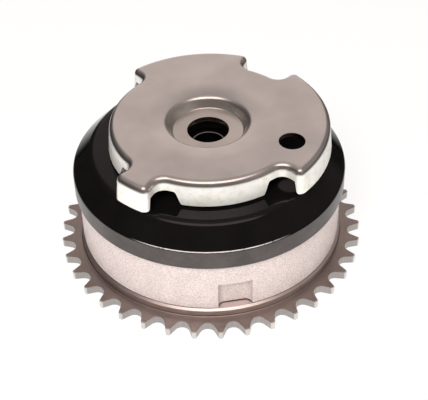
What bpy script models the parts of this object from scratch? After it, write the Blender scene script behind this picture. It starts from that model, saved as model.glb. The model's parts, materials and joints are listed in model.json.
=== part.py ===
"""Vane-type cam phaser with its timing sprocket, front cover and stamped trigger wheel.

Metres, +Z up. The unit stands on the sprocket's rear face, the rotation axis is the Z axis.
The housing (sprocket, stator, front plate, front cover) is one rigid body. The rotor with its
vanes and the trigger wheel turns in it, and the lock pin slides along Z in one vane.
"""

import math

import bmesh
import bpy
from mathutils import Matrix, Vector

# Fits
CLEARANCE = 0.0003            # gap between faces that seat on each other
VANE_TIP_GAP = 0.0005         # gap under the tips of vanes and lobes, closed by the seals
SEAL_RUNNING_GAP = 0.00015
OVERCUT = 0.001               # how far a cutter reaches past the face that it opens

# Timing sprocket
TOOTH_COUNT = 38
CHAIN_PITCH = 0.008
CHAIN_ROLLER_RADIUS = 0.0025
TOOTH_TIP_WIDTH = 0.0011
TOOTH_ROOT_DROP = 0.002       # from the pitch circle down to the root circle
TOOTH_FLANK_ANGLE = 62.0
FIRST_TOOTH_ANGLE = -1.963
FLANGE_THICKNESS = 0.003
SPROCKET_RIM = 0.0026         # from the root circle in to the shoulder
SHOULDER_HEIGHT = 0.0028
SHOULDER_BEVEL_WIDTH = 0.0007
SHOULDER_BEVEL_DROP = 0.00056
SHOULDER_FILLET = 0.0004      # where the shoulder meets the flange
CAM_JOURNAL_RADIUS = 0.017

# Stator drum with four lobes
DRUM_STEP = 0.0007            # the drum is this much smaller than the shoulder
DRUM_HEIGHT = 0.0188
DRUM_WALL = 0.0061
LOBE_COUNT = 4
LOBE_ANGLE = 36.0
FIRST_LOBE_ANGLE = 9.7
LOBE_ROOT_FILLET = 0.0015
LOBE_TIP_FILLET = 0.0018
POCKET_ANGLE = 279.7
POCKET_WIDTH = 0.0108
POCKET_HEIGHT = 0.010
POCKET_DEPTH = 0.0026
POCKET_CORNER_RADIUS = 0.0022

# Rotor
HUB_RADIUS = 0.0215
VANE_ANGLE = 28.0
STOP_GAP_ANGLE = 0.5          # left between a vane and a lobe at either end of the travel
SPRING_HUB_RADIUS = 0.015
SPRING_HUB_CHAMFER = 0.0004
NOSE_RADIUS = 0.0114
BOLT_BORE_RADIUS = 0.0051
CAM_RECESS_RADIUS = 0.014
CAM_RECESS_DEPTH = 0.003
CAM_DOWEL_HOLE_RADIUS = 0.0022
CAM_DOWEL_CIRCLE = 0.0098
OIL_DRILLING_RADIUS = 0.0012
OIL_SLOT_WIDTH = 0.0024
OIL_SLOT_DEPTH = 0.0016

# Seals at the tips of vanes and lobes
SEAL_WIDTH = 0.0018
SEAL_DEPTH = 0.0024
SEAL_CROWN = 0.0003            # how much lower the seal's long edges lie than its tip
SEAL_SPRING_RISE = 0.0005
SEAL_SPRING_THICKNESS = 0.00025

# Lock pin in one vane and its seat in the sprocket
LOCK_PIN_RADIUS = 0.0032
LOCK_PIN_LENGTH = 0.0112
LOCK_PIN_TRAVEL = 0.0022
LOCK_PIN_CHAMFER = 0.0005
LOCK_PIN_WALL = 0.0011        # round the bore that holds the lock spring
LOCK_SLEEVE_WALL = 0.0010
LOCK_BORE_TO_SLOT = 0.0017    # wall between the lock pin's bore and the vane's seal slot
LOCK_SEAT_DEPTH = 0.0037
LOCK_VENT_RADIUS = 0.0015     # hole through the sprocket under the lock pin's seat
SPRING_SEAT_HOLE_RADIUS = 0.0009
LOCK_SPRING_WIRE = 0.00045
LOCK_SPRING_TURNS = 4
LOCK_SPRING_BORE_DEPTH = 0.0065

# Front plate, its screws, the dowels
PLATE_THICKNESS = 0.0035
SCREW_INSET = 0.003           # from the chamber wall in to the screw circle
SCREW_RADIUS = 0.003
SCREW_HEAD_RADIUS = 0.0046
SCREW_HEAD_HEIGHT = 0.0042
SCREW_CHAMFER = 0.0005
SCREW_SOCKET_RADIUS = 0.0028
SCREW_SOCKET_DEPTH = 0.0026
SCREW_END_INSET = 0.0006      # the screw's end lies this far inside the rear face
DOWEL_RADIUS = 0.0015
DOWEL_LENGTH = 0.010
DOWEL_DEPTH = 0.004           # how much of the dowel sits in the sprocket
DOWEL_CHAMFER = 0.0003

# Black front cover, pressed from sheet
COVER_SHEET = 0.0008
COVER_BAND_LAP = 0.0008        # how far the band reaches down over the drum
COVER_BAND_HEIGHT = 0.0066
COVER_BAND_RADIUS = 0.0016    # outer bend between band and cone
COVER_CONE_HEIGHT = 0.0067
COVER_CONE_RUN = 0.0064
COVER_TOP_BEND_RADIUS = 0.0034
COVER_NOSE_GAP = 0.0008

# Bias spring under the front cover
BIAS_SPRING_TURNS = 3.5
BIAS_STRIP_THICKNESS = 0.001
BIAS_SPRING_END_GAP = 0.0008
BIAS_SPRING_HUB_GAP = 0.0004
BIAS_SPRING_PITCH = 0.0027
BIAS_START_ANGLE = 234.7
SPRING_PIN_RADIUS = 0.0015

# Stamped trigger wheel
WHEEL_LOBE_RADIUS = 0.0394
WHEEL_GAP_RADIUS = 0.0320
WHEEL_LOBES = ((-46.3, 42.4), (67.5, 131.4), (222.2, 242.2))
WHEEL_SHEET = 0.0016
WHEEL_BEND_RADIUS = 0.0019
WHEEL_SKIRT_FLARE = 5.0       # the skirt leans outwards by this angle
WHEEL_LOBE_CORNER = 0.0026
WHEEL_NOTCH_FILLET = 0.0030
WHEEL_SKIRT_DEPTH = 0.0085
WHEEL_RELIEF_DEPTH = 0.0043   # how far the edge hangs down in the reliefs beside the lobes
WHEEL_RELIEF_ARC = 0.0046
WHEEL_RELIEF_RAMP = 0.0026
WHEEL_RELIEF_STEPS = 3
WHEEL_COVER_GAP = 0.0009
WHEEL_BORE_RADIUS = 0.0067
WHEEL_SEAT_RADIUS = 0.0110
WHEEL_DISH_DEPTH = 0.0040
WHEEL_DISH_WALL_ANGLE = 62.0
WHEEL_DISH_EDGE_ANGLE = 10.0
WHEEL_DISH_FOLD_RADIUS = 0.0006
WHEEL_DISH_EDGE_RADIUS = 0.0022
WHEEL_DISH_SLOPE_RADIUS = 0.036
WHEEL_HOLE_RADIUS = 0.00415
WHEEL_HOLE_CIRCLE = 0.0285
WHEEL_HOLE_ANGLE = -25.3

# Sleeve under the trigger wheel and its dowel
SLEEVE_BORE_RADIUS = 0.0070
SLEEVE_DOWEL_RADIUS = 0.0011
SLEEVE_DOWEL_DEPTH = 0.004
SLEEVE_DOWEL_ANGLE = 155.7

# How finely round shapes are faceted
SPROCKET_STEPS = 2 * TOOTH_COUNT
DRUM_STEPS = 64
COVER_STEPS = 60
HUB_STEPS = 36
DISH_STEPS = 36
BORE_STEPS = 24
LOCK_BORE_STEPS = 20
LOCK_STEPS = 16
SMALL_STEPS = 12
COIL_STEPS = 8
SPIRAL_STEPS = 18
HOOK_STEPS = 5
FINE_ARC_STEP = 6.5
ARC_STEP = 8.0

# Radii that follow from the sizes above
PITCH_RADIUS = CHAIN_PITCH / (2 * math.sin(math.pi / TOOTH_COUNT))
TIP_RADIUS = CHAIN_PITCH * (0.6 + 1 / math.tan(math.pi / TOOTH_COUNT)) / 2
ROOT_RADIUS = PITCH_RADIUS - TOOTH_ROOT_DROP
SHOULDER_RADIUS = ROOT_RADIUS - SPROCKET_RIM
DRUM_RADIUS = SHOULDER_RADIUS - DRUM_STEP
CHAMBER_RADIUS = DRUM_RADIUS - DRUM_WALL
LOBE_TIP_RADIUS = HUB_RADIUS + VANE_TIP_GAP
VANE_TIP_RADIUS = CHAMBER_RADIUS - VANE_TIP_GAP
SEAL_SLOT_WIDTH = SEAL_WIDTH + 2 * CLEARANCE
SEAL_SPRING_SPACE = SEAL_SPRING_RISE + SEAL_SPRING_THICKNESS + 2 * CLEARANCE
SEAL_SLOT_DEPTH = SEAL_DEPTH + SEAL_SPRING_SPACE - VANE_TIP_GAP + SEAL_RUNNING_GAP
SCREW_CIRCLE = CHAMBER_RADIUS - SCREW_INSET
SCREW_HOLE_RADIUS = SCREW_RADIUS + CLEARANCE
DOWEL_CIRCLE = (CHAMBER_RADIUS + DRUM_RADIUS) / 2
DOWEL_HOLE_RADIUS = DOWEL_RADIUS + CLEARANCE
LOCK_SLEEVE_BORE = LOCK_PIN_RADIUS + CLEARANCE
LOCK_SPRING_BORE_RADIUS = LOCK_PIN_RADIUS - LOCK_PIN_WALL
LOCK_SLEEVE_RADIUS = LOCK_SLEEVE_BORE + LOCK_SLEEVE_WALL
LOCK_BORE_RADIUS = LOCK_SLEEVE_RADIUS + CLEARANCE
LOCK_CIRCLE = VANE_TIP_RADIUS - SEAL_SLOT_DEPTH - LOCK_BORE_TO_SLOT - LOCK_BORE_RADIUS
COVER_RADIUS = DRUM_RADIUS + CLEARANCE + COVER_SHEET
COVER_TOP_RADIUS = COVER_RADIUS - COVER_CONE_RUN
COVER_OPENING_RADIUS = NOSE_RADIUS + COVER_NOSE_GAP
BIAS_START_RADIUS = SPRING_HUB_RADIUS + BIAS_SPRING_HUB_GAP + BIAS_STRIP_THICKNESS / 2
BIAS_END_RADIUS = BIAS_START_RADIUS + BIAS_SPRING_TURNS * BIAS_SPRING_PITCH
BIAS_END_ANGLE = BIAS_START_ANGLE + BIAS_SPRING_TURNS * 360
SPRING_PIN_CIRCLE = BIAS_END_RADIUS + BIAS_STRIP_THICKNESS / 2 + CLEARANCE + SPRING_PIN_RADIUS
SLEEVE_DOWEL_CIRCLE = (SLEEVE_BORE_RADIUS + NOSE_RADIUS) / 2

# Heights that follow from the sizes above
SPROCKET_TOP = FLANGE_THICKNESS + SHOULDER_HEIGHT
DOWEL_BOTTOM = SPROCKET_TOP - DOWEL_DEPTH
DOWEL_TOP = DOWEL_BOTTOM + DOWEL_LENGTH
DRUM_BOTTOM = SPROCKET_TOP + CLEARANCE
DRUM_TOP = DRUM_BOTTOM + DRUM_HEIGHT
PLATE_BOTTOM = DRUM_TOP + CLEARANCE
PLATE_TOP = PLATE_BOTTOM + PLATE_THICKNESS
COVER_BOTTOM = DRUM_TOP - COVER_BAND_LAP
COVER_BAND_TOP = COVER_BOTTOM + COVER_BAND_HEIGHT
COVER_TOP = COVER_BAND_TOP + COVER_CONE_HEIGHT
SPRING_HUB_TOP = COVER_TOP - COVER_SHEET - BIAS_SPRING_END_GAP
NOSE_TOP = COVER_TOP + CLEARANCE
WHEEL_TOP = COVER_TOP + WHEEL_COVER_GAP + WHEEL_SKIRT_DEPTH
WHEEL_SEAT_TOP = WHEEL_TOP - WHEEL_DISH_DEPTH
SLEEVE_BOTTOM = NOSE_TOP + CLEARANCE
SLEEVE_TOP = WHEEL_SEAT_TOP - WHEEL_SHEET - CLEARANCE
LOCK_PIN_BOTTOM = DRUM_BOTTOM
LOCK_PIN_TOP = LOCK_PIN_BOTTOM + LOCK_PIN_LENGTH
LOCK_SLEEVE_TOP = LOCK_PIN_TOP + LOCK_PIN_TRAVEL + CLEARANCE

LOBE_ANGLES = [FIRST_LOBE_ANGLE + i * 360 / LOBE_COUNT for i in range(LOBE_COUNT)]
PARKED_OFFSET = (LOBE_ANGLE + VANE_ANGLE) / 2 + STOP_GAP_ANGLE
VANE_ANGLES = [angle - PARKED_OFFSET for angle in LOBE_ANGLES]
LOCK_ANGLE = VANE_ANGLES[0]


# Scene and materials

def clear_scene():
    """Remove every object that the file opened with."""
    for item in list(bpy.data.objects):
        bpy.data.objects.remove(item, do_unlink=True)


def new_collection(name):
    """A collection linked to the scene."""
    group = bpy.data.collections.new(name)
    bpy.context.scene.collection.children.link(group)
    return group


def new_material(name, color, roughness, metallic):
    """A Principled material in one colour."""
    paint = bpy.data.materials.new(name)
    paint.use_nodes = True
    shader = paint.node_tree.nodes["Principled BSDF"]
    shader.inputs["Base Color"].default_value = (*color, 1.0)
    shader.inputs["Roughness"].default_value = roughness
    shader.inputs["Metallic"].default_value = metallic
    paint.diffuse_color = (*color, 1.0)
    return paint


# Outlines

def polar(radius, degrees):
    """A flat point from a radius and an angle in degrees."""
    angle = math.radians(degrees)
    return Vector((radius * math.cos(angle), radius * math.sin(angle)))


def arc_angles(start, end, step, marks=()):
    """Even angles from start to end, and the marks between them; an angle close to a mark gives way."""
    parts = max(1, round((end - start) / step + 0.5))
    angles = [start + (end - start) * i / parts for i in range(parts + 1)]
    inside = [mark for mark in marks if start < mark < end]
    close = step / 3
    kept = [a for a in angles if a in (start, end) or all(abs(a - mark) > close for mark in inside)]
    return sorted(kept + inside)


def rounded_corner(before, corner, after, parts=4):
    """Points on a quarter circle that replaces a right-angled corner, both ends included."""
    centre = before + after - corner
    turns = [math.pi / 2 * i / parts for i in range(parts + 1)]
    return [centre + math.cos(t) * (corner - after) + math.sin(t) * (corner - before) for t in turns]


def circle(radius, steps, centre=(0.0, 0.0), start=0.0):
    """A closed round outline."""
    middle = Vector(centre)
    return [middle + polar(radius, start + 360 * i / steps) for i in range(steps)]


def slot_points(radius, bottom_radius, degrees, width):
    """A parallel slot across an arc, from the arc to the slot's bottom and back."""
    turn = Matrix.Rotation(math.radians(degrees), 2)
    half = width / 2
    corners = [(radius, -half), (bottom_radius, -half), (bottom_radius, half), (radius, half)]
    return [turn @ Vector(corner) for corner in corners]


def arc_points(radius, angles, slot_angle, slot_bottom):
    """Points of one arc, with a seal slot at slot_angle when slot_bottom is given."""
    if slot_bottom is None:
        return [polar(radius, a) for a in angles]
    reach = math.degrees((SEAL_SLOT_WIDTH / 2 + CLEARANCE) / radius)
    points = [polar(radius, a) for a in angles if a < slot_angle - reach]
    points += slot_points(radius, slot_bottom, slot_angle, SEAL_SLOT_WIDTH)
    return points + [polar(radius, a) for a in angles if a > slot_angle + reach]


def stepped_outline(low, high, sectors, low_fillet, high_fillet, step=ARC_STEP, parts=3,
                    low_marks=(), low_slot=None, high_slot=None):
    """Closed outline at radius high over each sector and at radius low between the sectors.

    The radial sides meet the arcs in rounded corners. low_marks are distances along the low arc
    from each corner where it gets an extra point. A slot is cut in the middle of each arc whose
    slot bottom radius is given.
    """
    points = []
    trim_high = math.degrees(high_fillet / high)
    trim_low = math.degrees(low_fillet / low)
    for index, (start, end) in enumerate(sectors):
        follows = sectors[(index + 1) % len(sectors)][0]
        follows += 360 if follows < end else 0
        angles = arc_angles(start + trim_high, end - trim_high, step)
        points += arc_points(high, angles, (start + end) / 2, high_slot)
        points += rounded_corner(polar(high, end - trim_high), polar(high, end),
                                 polar(high - high_fillet, end), parts)[1:]
        points += rounded_corner(polar(low + low_fillet, end), polar(low, end),
                                 polar(low, end + trim_low), parts)
        marks = [math.degrees(mark / low) for mark in low_marks]
        marks = [end + mark for mark in marks] + [follows - mark for mark in marks]
        angles = arc_angles(end + trim_low, follows - trim_low, step, marks)
        points += arc_points(low, angles, (end + follows) / 2, low_slot)[1:-1]
        points += rounded_corner(polar(low, follows - trim_low), polar(low, follows),
                                 polar(low + low_fillet, follows), parts)
        points += rounded_corner(polar(high - high_fillet, follows), polar(high, follows),
                                 polar(high, follows + trim_high), parts)[:-1]
    return points


def sectors_about(angles, width):
    """Start and end of a sector of one width about each angle."""
    return [(angle - width / 2, angle + width / 2) for angle in angles]


def bend(centre_radius, centre_height, radius, start, end, parts):
    """(radius, height) points of an arc in a profile, from a start angle to an end angle."""
    turns = [math.radians(start + (end - start) * i / parts) for i in range(parts + 1)]
    return [(centre_radius + radius * math.cos(t), centre_height + radius * math.sin(t)) for t in turns]


# Making solids

def evaluated_mesh(item):
    """The mesh of an object with its modifiers worked out."""
    bpy.context.view_layer.update()
    depsgraph = bpy.context.evaluated_depsgraph_get()
    return bpy.data.meshes.new_from_object(item.evaluated_get(depsgraph))


def mesh_from_bmesh(name, shape):
    """Turn a bmesh into a mesh and free it."""
    mesh = bpy.data.meshes.new(name)
    shape.to_mesh(mesh)
    shape.free()
    return mesh


def link_object(name, data, group, location=(0, 0, 0), turn=0.0):
    """An object in a collection, placed and turned about Z."""
    item = bpy.data.objects.new(name, data)
    item.location = location
    item.rotation_euler.z = math.radians(turn)
    group.objects.link(item)
    return item


def extruded_mesh(name, loops, bottom, top):
    """A flat outline with holes, filled and extruded from bottom to top."""
    curve = bpy.data.curves.new(name, "CURVE")
    curve.dimensions = "2D"
    curve.fill_mode = "BOTH"
    curve.extrude = (top - bottom) / 2
    for loop in loops:
        spline = curve.splines.new("POLY")
        spline.points.add(len(loop) - 1)
        for point, place in zip(spline.points, loop):
            point.co = (place.x, place.y, 0.0, 1.0)
        spline.use_cyclic_u = True
    holder = link_object(name, curve, bpy.context.scene.collection)
    mesh = evaluated_mesh(holder)
    bpy.data.objects.remove(holder, do_unlink=True)
    shape = bmesh.new()
    shape.from_mesh(mesh)
    bmesh.ops.remove_doubles(shape, verts=shape.verts, dist=1e-6)
    bmesh.ops.translate(shape, verts=shape.verts, vec=(0, 0, (top + bottom) / 2))
    bmesh.ops.recalc_face_normals(shape, faces=shape.faces)
    return mesh_from_bmesh(name, shape)


def turned_mesh(name, profile, steps, closed=True):
    """A profile of (radius, height) points, run down its outer side, turned about Z."""
    shape = bmesh.new()
    verts = [shape.verts.new((radius, 0, height)) for radius, height in profile]
    ends = verts[1:] + verts[:1] if closed else verts[1:]
    for first, second in zip(verts, ends):
        shape.edges.new((first, second))
    holder = link_object(name, mesh_from_bmesh(name, shape), bpy.context.scene.collection)
    screw = holder.modifiers.new("turn", "SCREW")
    screw.steps = screw.render_steps = steps
    screw.use_merge_vertices = True
    screw.merge_threshold = 1e-6
    mesh = evaluated_mesh(holder)
    bpy.data.objects.remove(holder, do_unlink=True)
    return mesh


def ring_mesh(name, inner, outer, bottom, top, steps):
    """A plain ring."""
    profile = [(inner, top), (outer, top), (outer, bottom), (inner, bottom)]
    return turned_mesh(name, profile, steps)


def drills_mesh(name, drills):
    """One mesh of separate cylinders, each (x, y, bottom, top, radius, steps)."""
    shape = bmesh.new()
    for x, y, bottom, top, radius, steps in drills:
        place = Matrix.Translation((x, y, (bottom + top) / 2))
        bmesh.ops.create_cone(shape, cap_ends=True, segments=steps, radius1=radius, radius2=radius,
                              depth=top - bottom, matrix=place)
    return mesh_from_bmesh(name, shape)


def add_boolean(item, cutter, operation="DIFFERENCE"):
    """Cut or join one object with another by the exact solver."""
    cut = item.modifiers.new(cutter.name, "BOOLEAN")
    cut.operation = operation
    cut.object = cutter
    cut.solver = "EXACT"


class Builder:
    """Holds the collections and makes pieces and cutters in them."""

    def __init__(self):
        self.pieces = new_collection("cam_phaser")
        self.cutters = new_collection("cutters")

    def piece(self, name, mesh, paint, location=(0, 0, 0), turn=0.0, parent=None):
        """One sub-part of the phaser."""
        item = link_object(name, mesh, self.pieces, location, turn)
        item.parent = parent
        if not mesh.materials:
            mesh.materials.append(paint)
        return item

    def cutter(self, name, mesh, location=(0, 0, 0), turn=0.0):
        """A shape that only cuts or joins."""
        item = link_object(name, mesh, self.cutters, location, turn)
        item.hide_render = True
        item.display_type = "WIRE"
        return item

    def axis(self, name, location=(0, 0, 0)):
        """An empty on a joint's axis."""
        empty = bpy.data.objects.new(name, None)
        empty.location = location
        self.pieces.objects.link(empty)
        return empty


def shade(item, angle=30.0):
    """Work out the modifiers of a finished piece and shade its round faces smooth."""
    materials = list(item.data.materials)
    if item.modifiers:
        mesh = evaluated_mesh(item)
        item.modifiers.clear()
        item.data = mesh
    item.data.name = item.name if item.data.users == 1 else item.data.name
    if not item.data.materials:
        for paint in materials:
            item.data.materials.append(paint)
    item.data.shade_smooth()
    item.data.set_sharp_from_angle(angle=math.radians(angle))


# Housing

def tooth_gap():
    """Outline of one gap between teeth, centred on +X: the roller seat and both flanks."""
    seat_centre = ROOT_RADIUS + CHAIN_ROLLER_RADIUS
    half_gap = TIP_RADIUS * math.pi / TOOTH_COUNT - TOOTH_TIP_WIDTH / 2
    seat = []
    parts = 4
    for i in range(parts + 1):
        angle = math.radians(TOOTH_FLANK_ANGLE * (2 * i / parts - 1))
        seat.append(Vector((seat_centre - CHAIN_ROLLER_RADIUS * math.cos(angle),
                            CHAIN_ROLLER_RADIUS * math.sin(angle))))
    tip = Vector((TIP_RADIUS * math.cos(math.pi / TOOTH_COUNT), half_gap))
    reach = 1 + OVERCUT / 2 / (tip - seat[-1]).length
    outside = seat[-1] + (tip - seat[-1]) * reach
    return [Vector((outside.x, -outside.y))] + seat + [outside]


def make_sprocket(build, paint):
    """Turned blank with a shoulder ring, its tooth gaps, bore and holes cut out."""
    fillet = SHOULDER_FILLET
    top = SPROCKET_TOP
    face = FLANGE_THICKNESS
    profile = [(CAM_JOURNAL_RADIUS, top), (SHOULDER_RADIUS - SHOULDER_BEVEL_WIDTH, top),
               (SHOULDER_RADIUS, top - SHOULDER_BEVEL_DROP)]
    profile += bend(SHOULDER_RADIUS + fillet, face + fillet, fillet, 180, 270, parts=2)
    profile += [(TIP_RADIUS, face), (TIP_RADIUS, 0), (CAM_JOURNAL_RADIUS, 0)]
    half_facet = 180 / SPROCKET_STEPS
    sprocket = build.piece("sprocket", turned_mesh("sprocket", profile, SPROCKET_STEPS), paint,
                           turn=FIRST_TOOTH_ANGLE + half_facet)

    gap = tooth_gap()
    shape = bmesh.new()
    gap_mesh = extruded_mesh("tooth_gap", [gap], -OVERCUT, face + OVERCUT)
    for i in range(TOOTH_COUNT):
        before = len(shape.verts)
        shape.from_mesh(gap_mesh)
        shape.verts.ensure_lookup_table()
        turn = Matrix.Rotation(2 * math.pi * (i + 0.5) / TOOTH_COUNT, 4, "Z")
        bmesh.ops.transform(shape, matrix=turn, verts=shape.verts[before:])
    gaps = build.cutter("tooth_gaps", mesh_from_bmesh("tooth_gaps", shape), turn=FIRST_TOOTH_ANGLE)
    add_boolean(sprocket, gaps)

    drills = []
    for angle in LOBE_ANGLES:
        x, y = polar(SCREW_CIRCLE, angle)
        drills.append((x, y, -OVERCUT, top + OVERCUT, SCREW_HOLE_RADIUS, SMALL_STEPS))
    for angle in LOBE_ANGLES[0::2]:
        x, y = polar(DOWEL_CIRCLE, angle)
        drills.append((x, y, DOWEL_BOTTOM - CLEARANCE, top + OVERCUT, DOWEL_HOLE_RADIUS, SMALL_STEPS))
    holes = build.cutter("sprocket_holes", drills_mesh("sprocket_holes", drills))
    add_boolean(sprocket, holes)

    x, y = polar(LOCK_CIRCLE, LOCK_ANGLE)
    seat_floor = top - LOCK_SEAT_DEPTH - CLEARANCE
    profile = [(0, top + OVERCUT), (LOCK_BORE_RADIUS, top + OVERCUT), (LOCK_BORE_RADIUS, seat_floor),
               (LOCK_VENT_RADIUS, seat_floor), (LOCK_VENT_RADIUS, -OVERCUT), (0, -OVERCUT)]
    mesh = turned_mesh("lock_seat_pocket", profile, LOCK_BORE_STEPS, closed=False)
    add_boolean(sprocket, build.cutter("lock_seat_pocket", mesh, location=(x, y, 0)))
    shade(sprocket)


def make_stator(build, paint):
    """Drum with four inward lobes, seal slots, screw holes, dowel holes and the outer pocket."""
    cavities = sectors_about([angle + 180 / LOBE_COUNT for angle in LOBE_ANGLES],
                             360 / LOBE_COUNT - LOBE_ANGLE)
    chamber = stepped_outline(LOBE_TIP_RADIUS, CHAMBER_RADIUS, cavities, LOBE_TIP_FILLET, LOBE_ROOT_FILLET,
                              low_slot=LOBE_TIP_RADIUS + SEAL_SLOT_DEPTH)
    loops = [circle(DRUM_RADIUS, DRUM_STEPS), chamber]
    for angle in LOBE_ANGLES:
        loops.append(circle(SCREW_HOLE_RADIUS, SMALL_STEPS, polar(SCREW_CIRCLE, angle)))
    mesh = extruded_mesh("stator_housing", loops, DRUM_BOTTOM, DRUM_TOP)
    stator = build.piece("stator_housing", mesh, paint)

    shape = bmesh.new()
    bmesh.ops.create_cube(shape, size=1)
    width = POCKET_DEPTH + OVERCUT
    height = POCKET_HEIGHT + OVERCUT
    bmesh.ops.scale(shape, vec=(width, POCKET_WIDTH, height), verts=shape.verts)
    inner = [edge for edge in shape.edges if all(vert.co.x < 0 for vert in edge.verts)]
    rounded = [edge for edge in inner if not all(vert.co.z < 0 for vert in edge.verts)]
    bmesh.ops.bevel(shape, geom=rounded, offset=POCKET_CORNER_RADIUS, segments=3, profile=0.5, affect="EDGES")
    x, y = polar(DRUM_RADIUS - POCKET_DEPTH + width / 2, POCKET_ANGLE)
    pocket = build.cutter("drum_pocket", mesh_from_bmesh("drum_pocket", shape),
                          location=(x, y, DRUM_BOTTOM + POCKET_HEIGHT - height / 2), turn=POCKET_ANGLE)
    add_boolean(stator, pocket)

    drills = []
    for angle in LOBE_ANGLES[0::2]:
        x, y = polar(DOWEL_CIRCLE, angle)
        drills.append((x, y, DRUM_BOTTOM - OVERCUT, DOWEL_TOP + CLEARANCE, DOWEL_HOLE_RADIUS, SMALL_STEPS))
    add_boolean(stator, build.cutter("stator_dowel_holes", drills_mesh("stator_dowel_holes", drills)))
    shade(stator)


def make_front_plate(build, paint):
    """Flat plate that closes the chambers, with bore, screw holes and the spring pin's hole."""
    loops = [circle(DRUM_RADIUS, COVER_STEPS), circle(SPRING_HUB_RADIUS + CLEARANCE, HUB_STEPS)]
    for angle in LOBE_ANGLES:
        loops.append(circle(SCREW_HOLE_RADIUS, SMALL_STEPS, polar(SCREW_CIRCLE, angle)))
    loops.append(circle(SPRING_PIN_RADIUS + CLEARANCE, SMALL_STEPS, polar(SPRING_PIN_CIRCLE, BIAS_END_ANGLE)))
    plate = build.piece("front_plate", extruded_mesh("front_plate", loops, PLATE_BOTTOM, PLATE_TOP), paint)
    shade(plate)


def cover_profile():
    """Outer skin of the front cover, from its opening out and down to the band's lower edge."""
    slope = math.atan2(COVER_CONE_HEIGHT, COVER_CONE_RUN)
    normal = 90 - math.degrees(slope)
    top_trim = COVER_TOP_BEND_RADIUS * math.tan(slope / 2)
    band_trim = COVER_BAND_RADIUS * math.tan((math.pi / 2 - slope) / 2)
    points = [(COVER_OPENING_RADIUS, COVER_TOP)]
    points += bend(COVER_TOP_RADIUS - top_trim, COVER_TOP - COVER_TOP_BEND_RADIUS,
                   COVER_TOP_BEND_RADIUS, 90, normal, parts=2)
    points += bend(COVER_RADIUS - COVER_BAND_RADIUS, COVER_BAND_TOP - band_trim,
                   COVER_BAND_RADIUS, normal, 0, parts=2)
    return points + [(COVER_RADIUS, COVER_BOTTOM)]


def make_front_cover(build, paint):
    """Pressed can: band, cone and flat top with a round opening for the rotor's nose."""
    mesh = turned_mesh("front_cover", cover_profile(), COVER_STEPS, closed=False)
    cover = build.piece("front_cover", mesh, paint)
    sheet = cover.modifiers.new("sheet", "SOLIDIFY")
    sheet.thickness = COVER_SHEET
    sheet.offset = -1
    sheet.use_even_offset = True
    shade(cover)


def make_screws(build, paint):
    """Socket-head screws through plate and lobes into the sprocket."""
    head_bottom = PLATE_TOP + CLEARANCE
    head_top = head_bottom + SCREW_HEAD_HEIGHT
    profile = [(0, head_top), (SCREW_HEAD_RADIUS - SCREW_CHAMFER, head_top),
               (SCREW_HEAD_RADIUS, head_top - SCREW_CHAMFER), (SCREW_HEAD_RADIUS, head_bottom),
               (SCREW_RADIUS, head_bottom), (SCREW_RADIUS, SCREW_END_INSET + SCREW_CHAMFER),
               (SCREW_RADIUS - SCREW_CHAMFER, SCREW_END_INSET), (0, SCREW_END_INSET)]
    blank = build.cutter("screw_blank", turned_mesh("screw_blank", profile, SMALL_STEPS, closed=False))
    hexagon = circle(SCREW_SOCKET_RADIUS, 6, start=180 / SMALL_STEPS)
    socket = build.cutter("screw_socket", extruded_mesh("screw_socket", [hexagon],
                                                        head_top - SCREW_SOCKET_DEPTH, head_top + OVERCUT))
    add_boolean(blank, socket)
    mesh = evaluated_mesh(blank)
    mesh.name = "housing_screw"
    bpy.data.objects.remove(blank, do_unlink=True)
    for number, angle in enumerate(LOBE_ANGLES, start=1):
        x, y = polar(SCREW_CIRCLE, angle)
        shade(build.piece("housing_screw_%d" % number, mesh, paint, location=(x, y, 0)))


def make_dowels(build, paint):
    """Two dowels between sprocket and stator."""
    end_radius = DOWEL_RADIUS - DOWEL_CHAMFER
    profile = [(0, DOWEL_TOP), (end_radius, DOWEL_TOP), (DOWEL_RADIUS, DOWEL_TOP - DOWEL_CHAMFER),
               (DOWEL_RADIUS, DOWEL_BOTTOM + DOWEL_CHAMFER), (end_radius, DOWEL_BOTTOM), (0, DOWEL_BOTTOM)]
    mesh = turned_mesh("stator_dowel", profile, SMALL_STEPS, closed=False)
    for number, angle in enumerate(LOBE_ANGLES[0::2], start=1):
        x, y = polar(DOWEL_CIRCLE, angle)
        shade(build.piece("stator_dowel_%d" % number, mesh, paint, location=(x, y, 0)))


def make_spring_pin(build, paint):
    """Pin in the front plate that holds the bias spring's outer end."""
    x, y = polar(SPRING_PIN_CIRCLE, BIAS_END_ANGLE)
    mesh = drills_mesh("spring_anchor_pin",
                       [(0, 0, PLATE_BOTTOM, SPRING_HUB_TOP, SPRING_PIN_RADIUS, SMALL_STEPS)])
    shade(build.piece("spring_anchor_pin", mesh, paint, location=(x, y, 0)))


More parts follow.
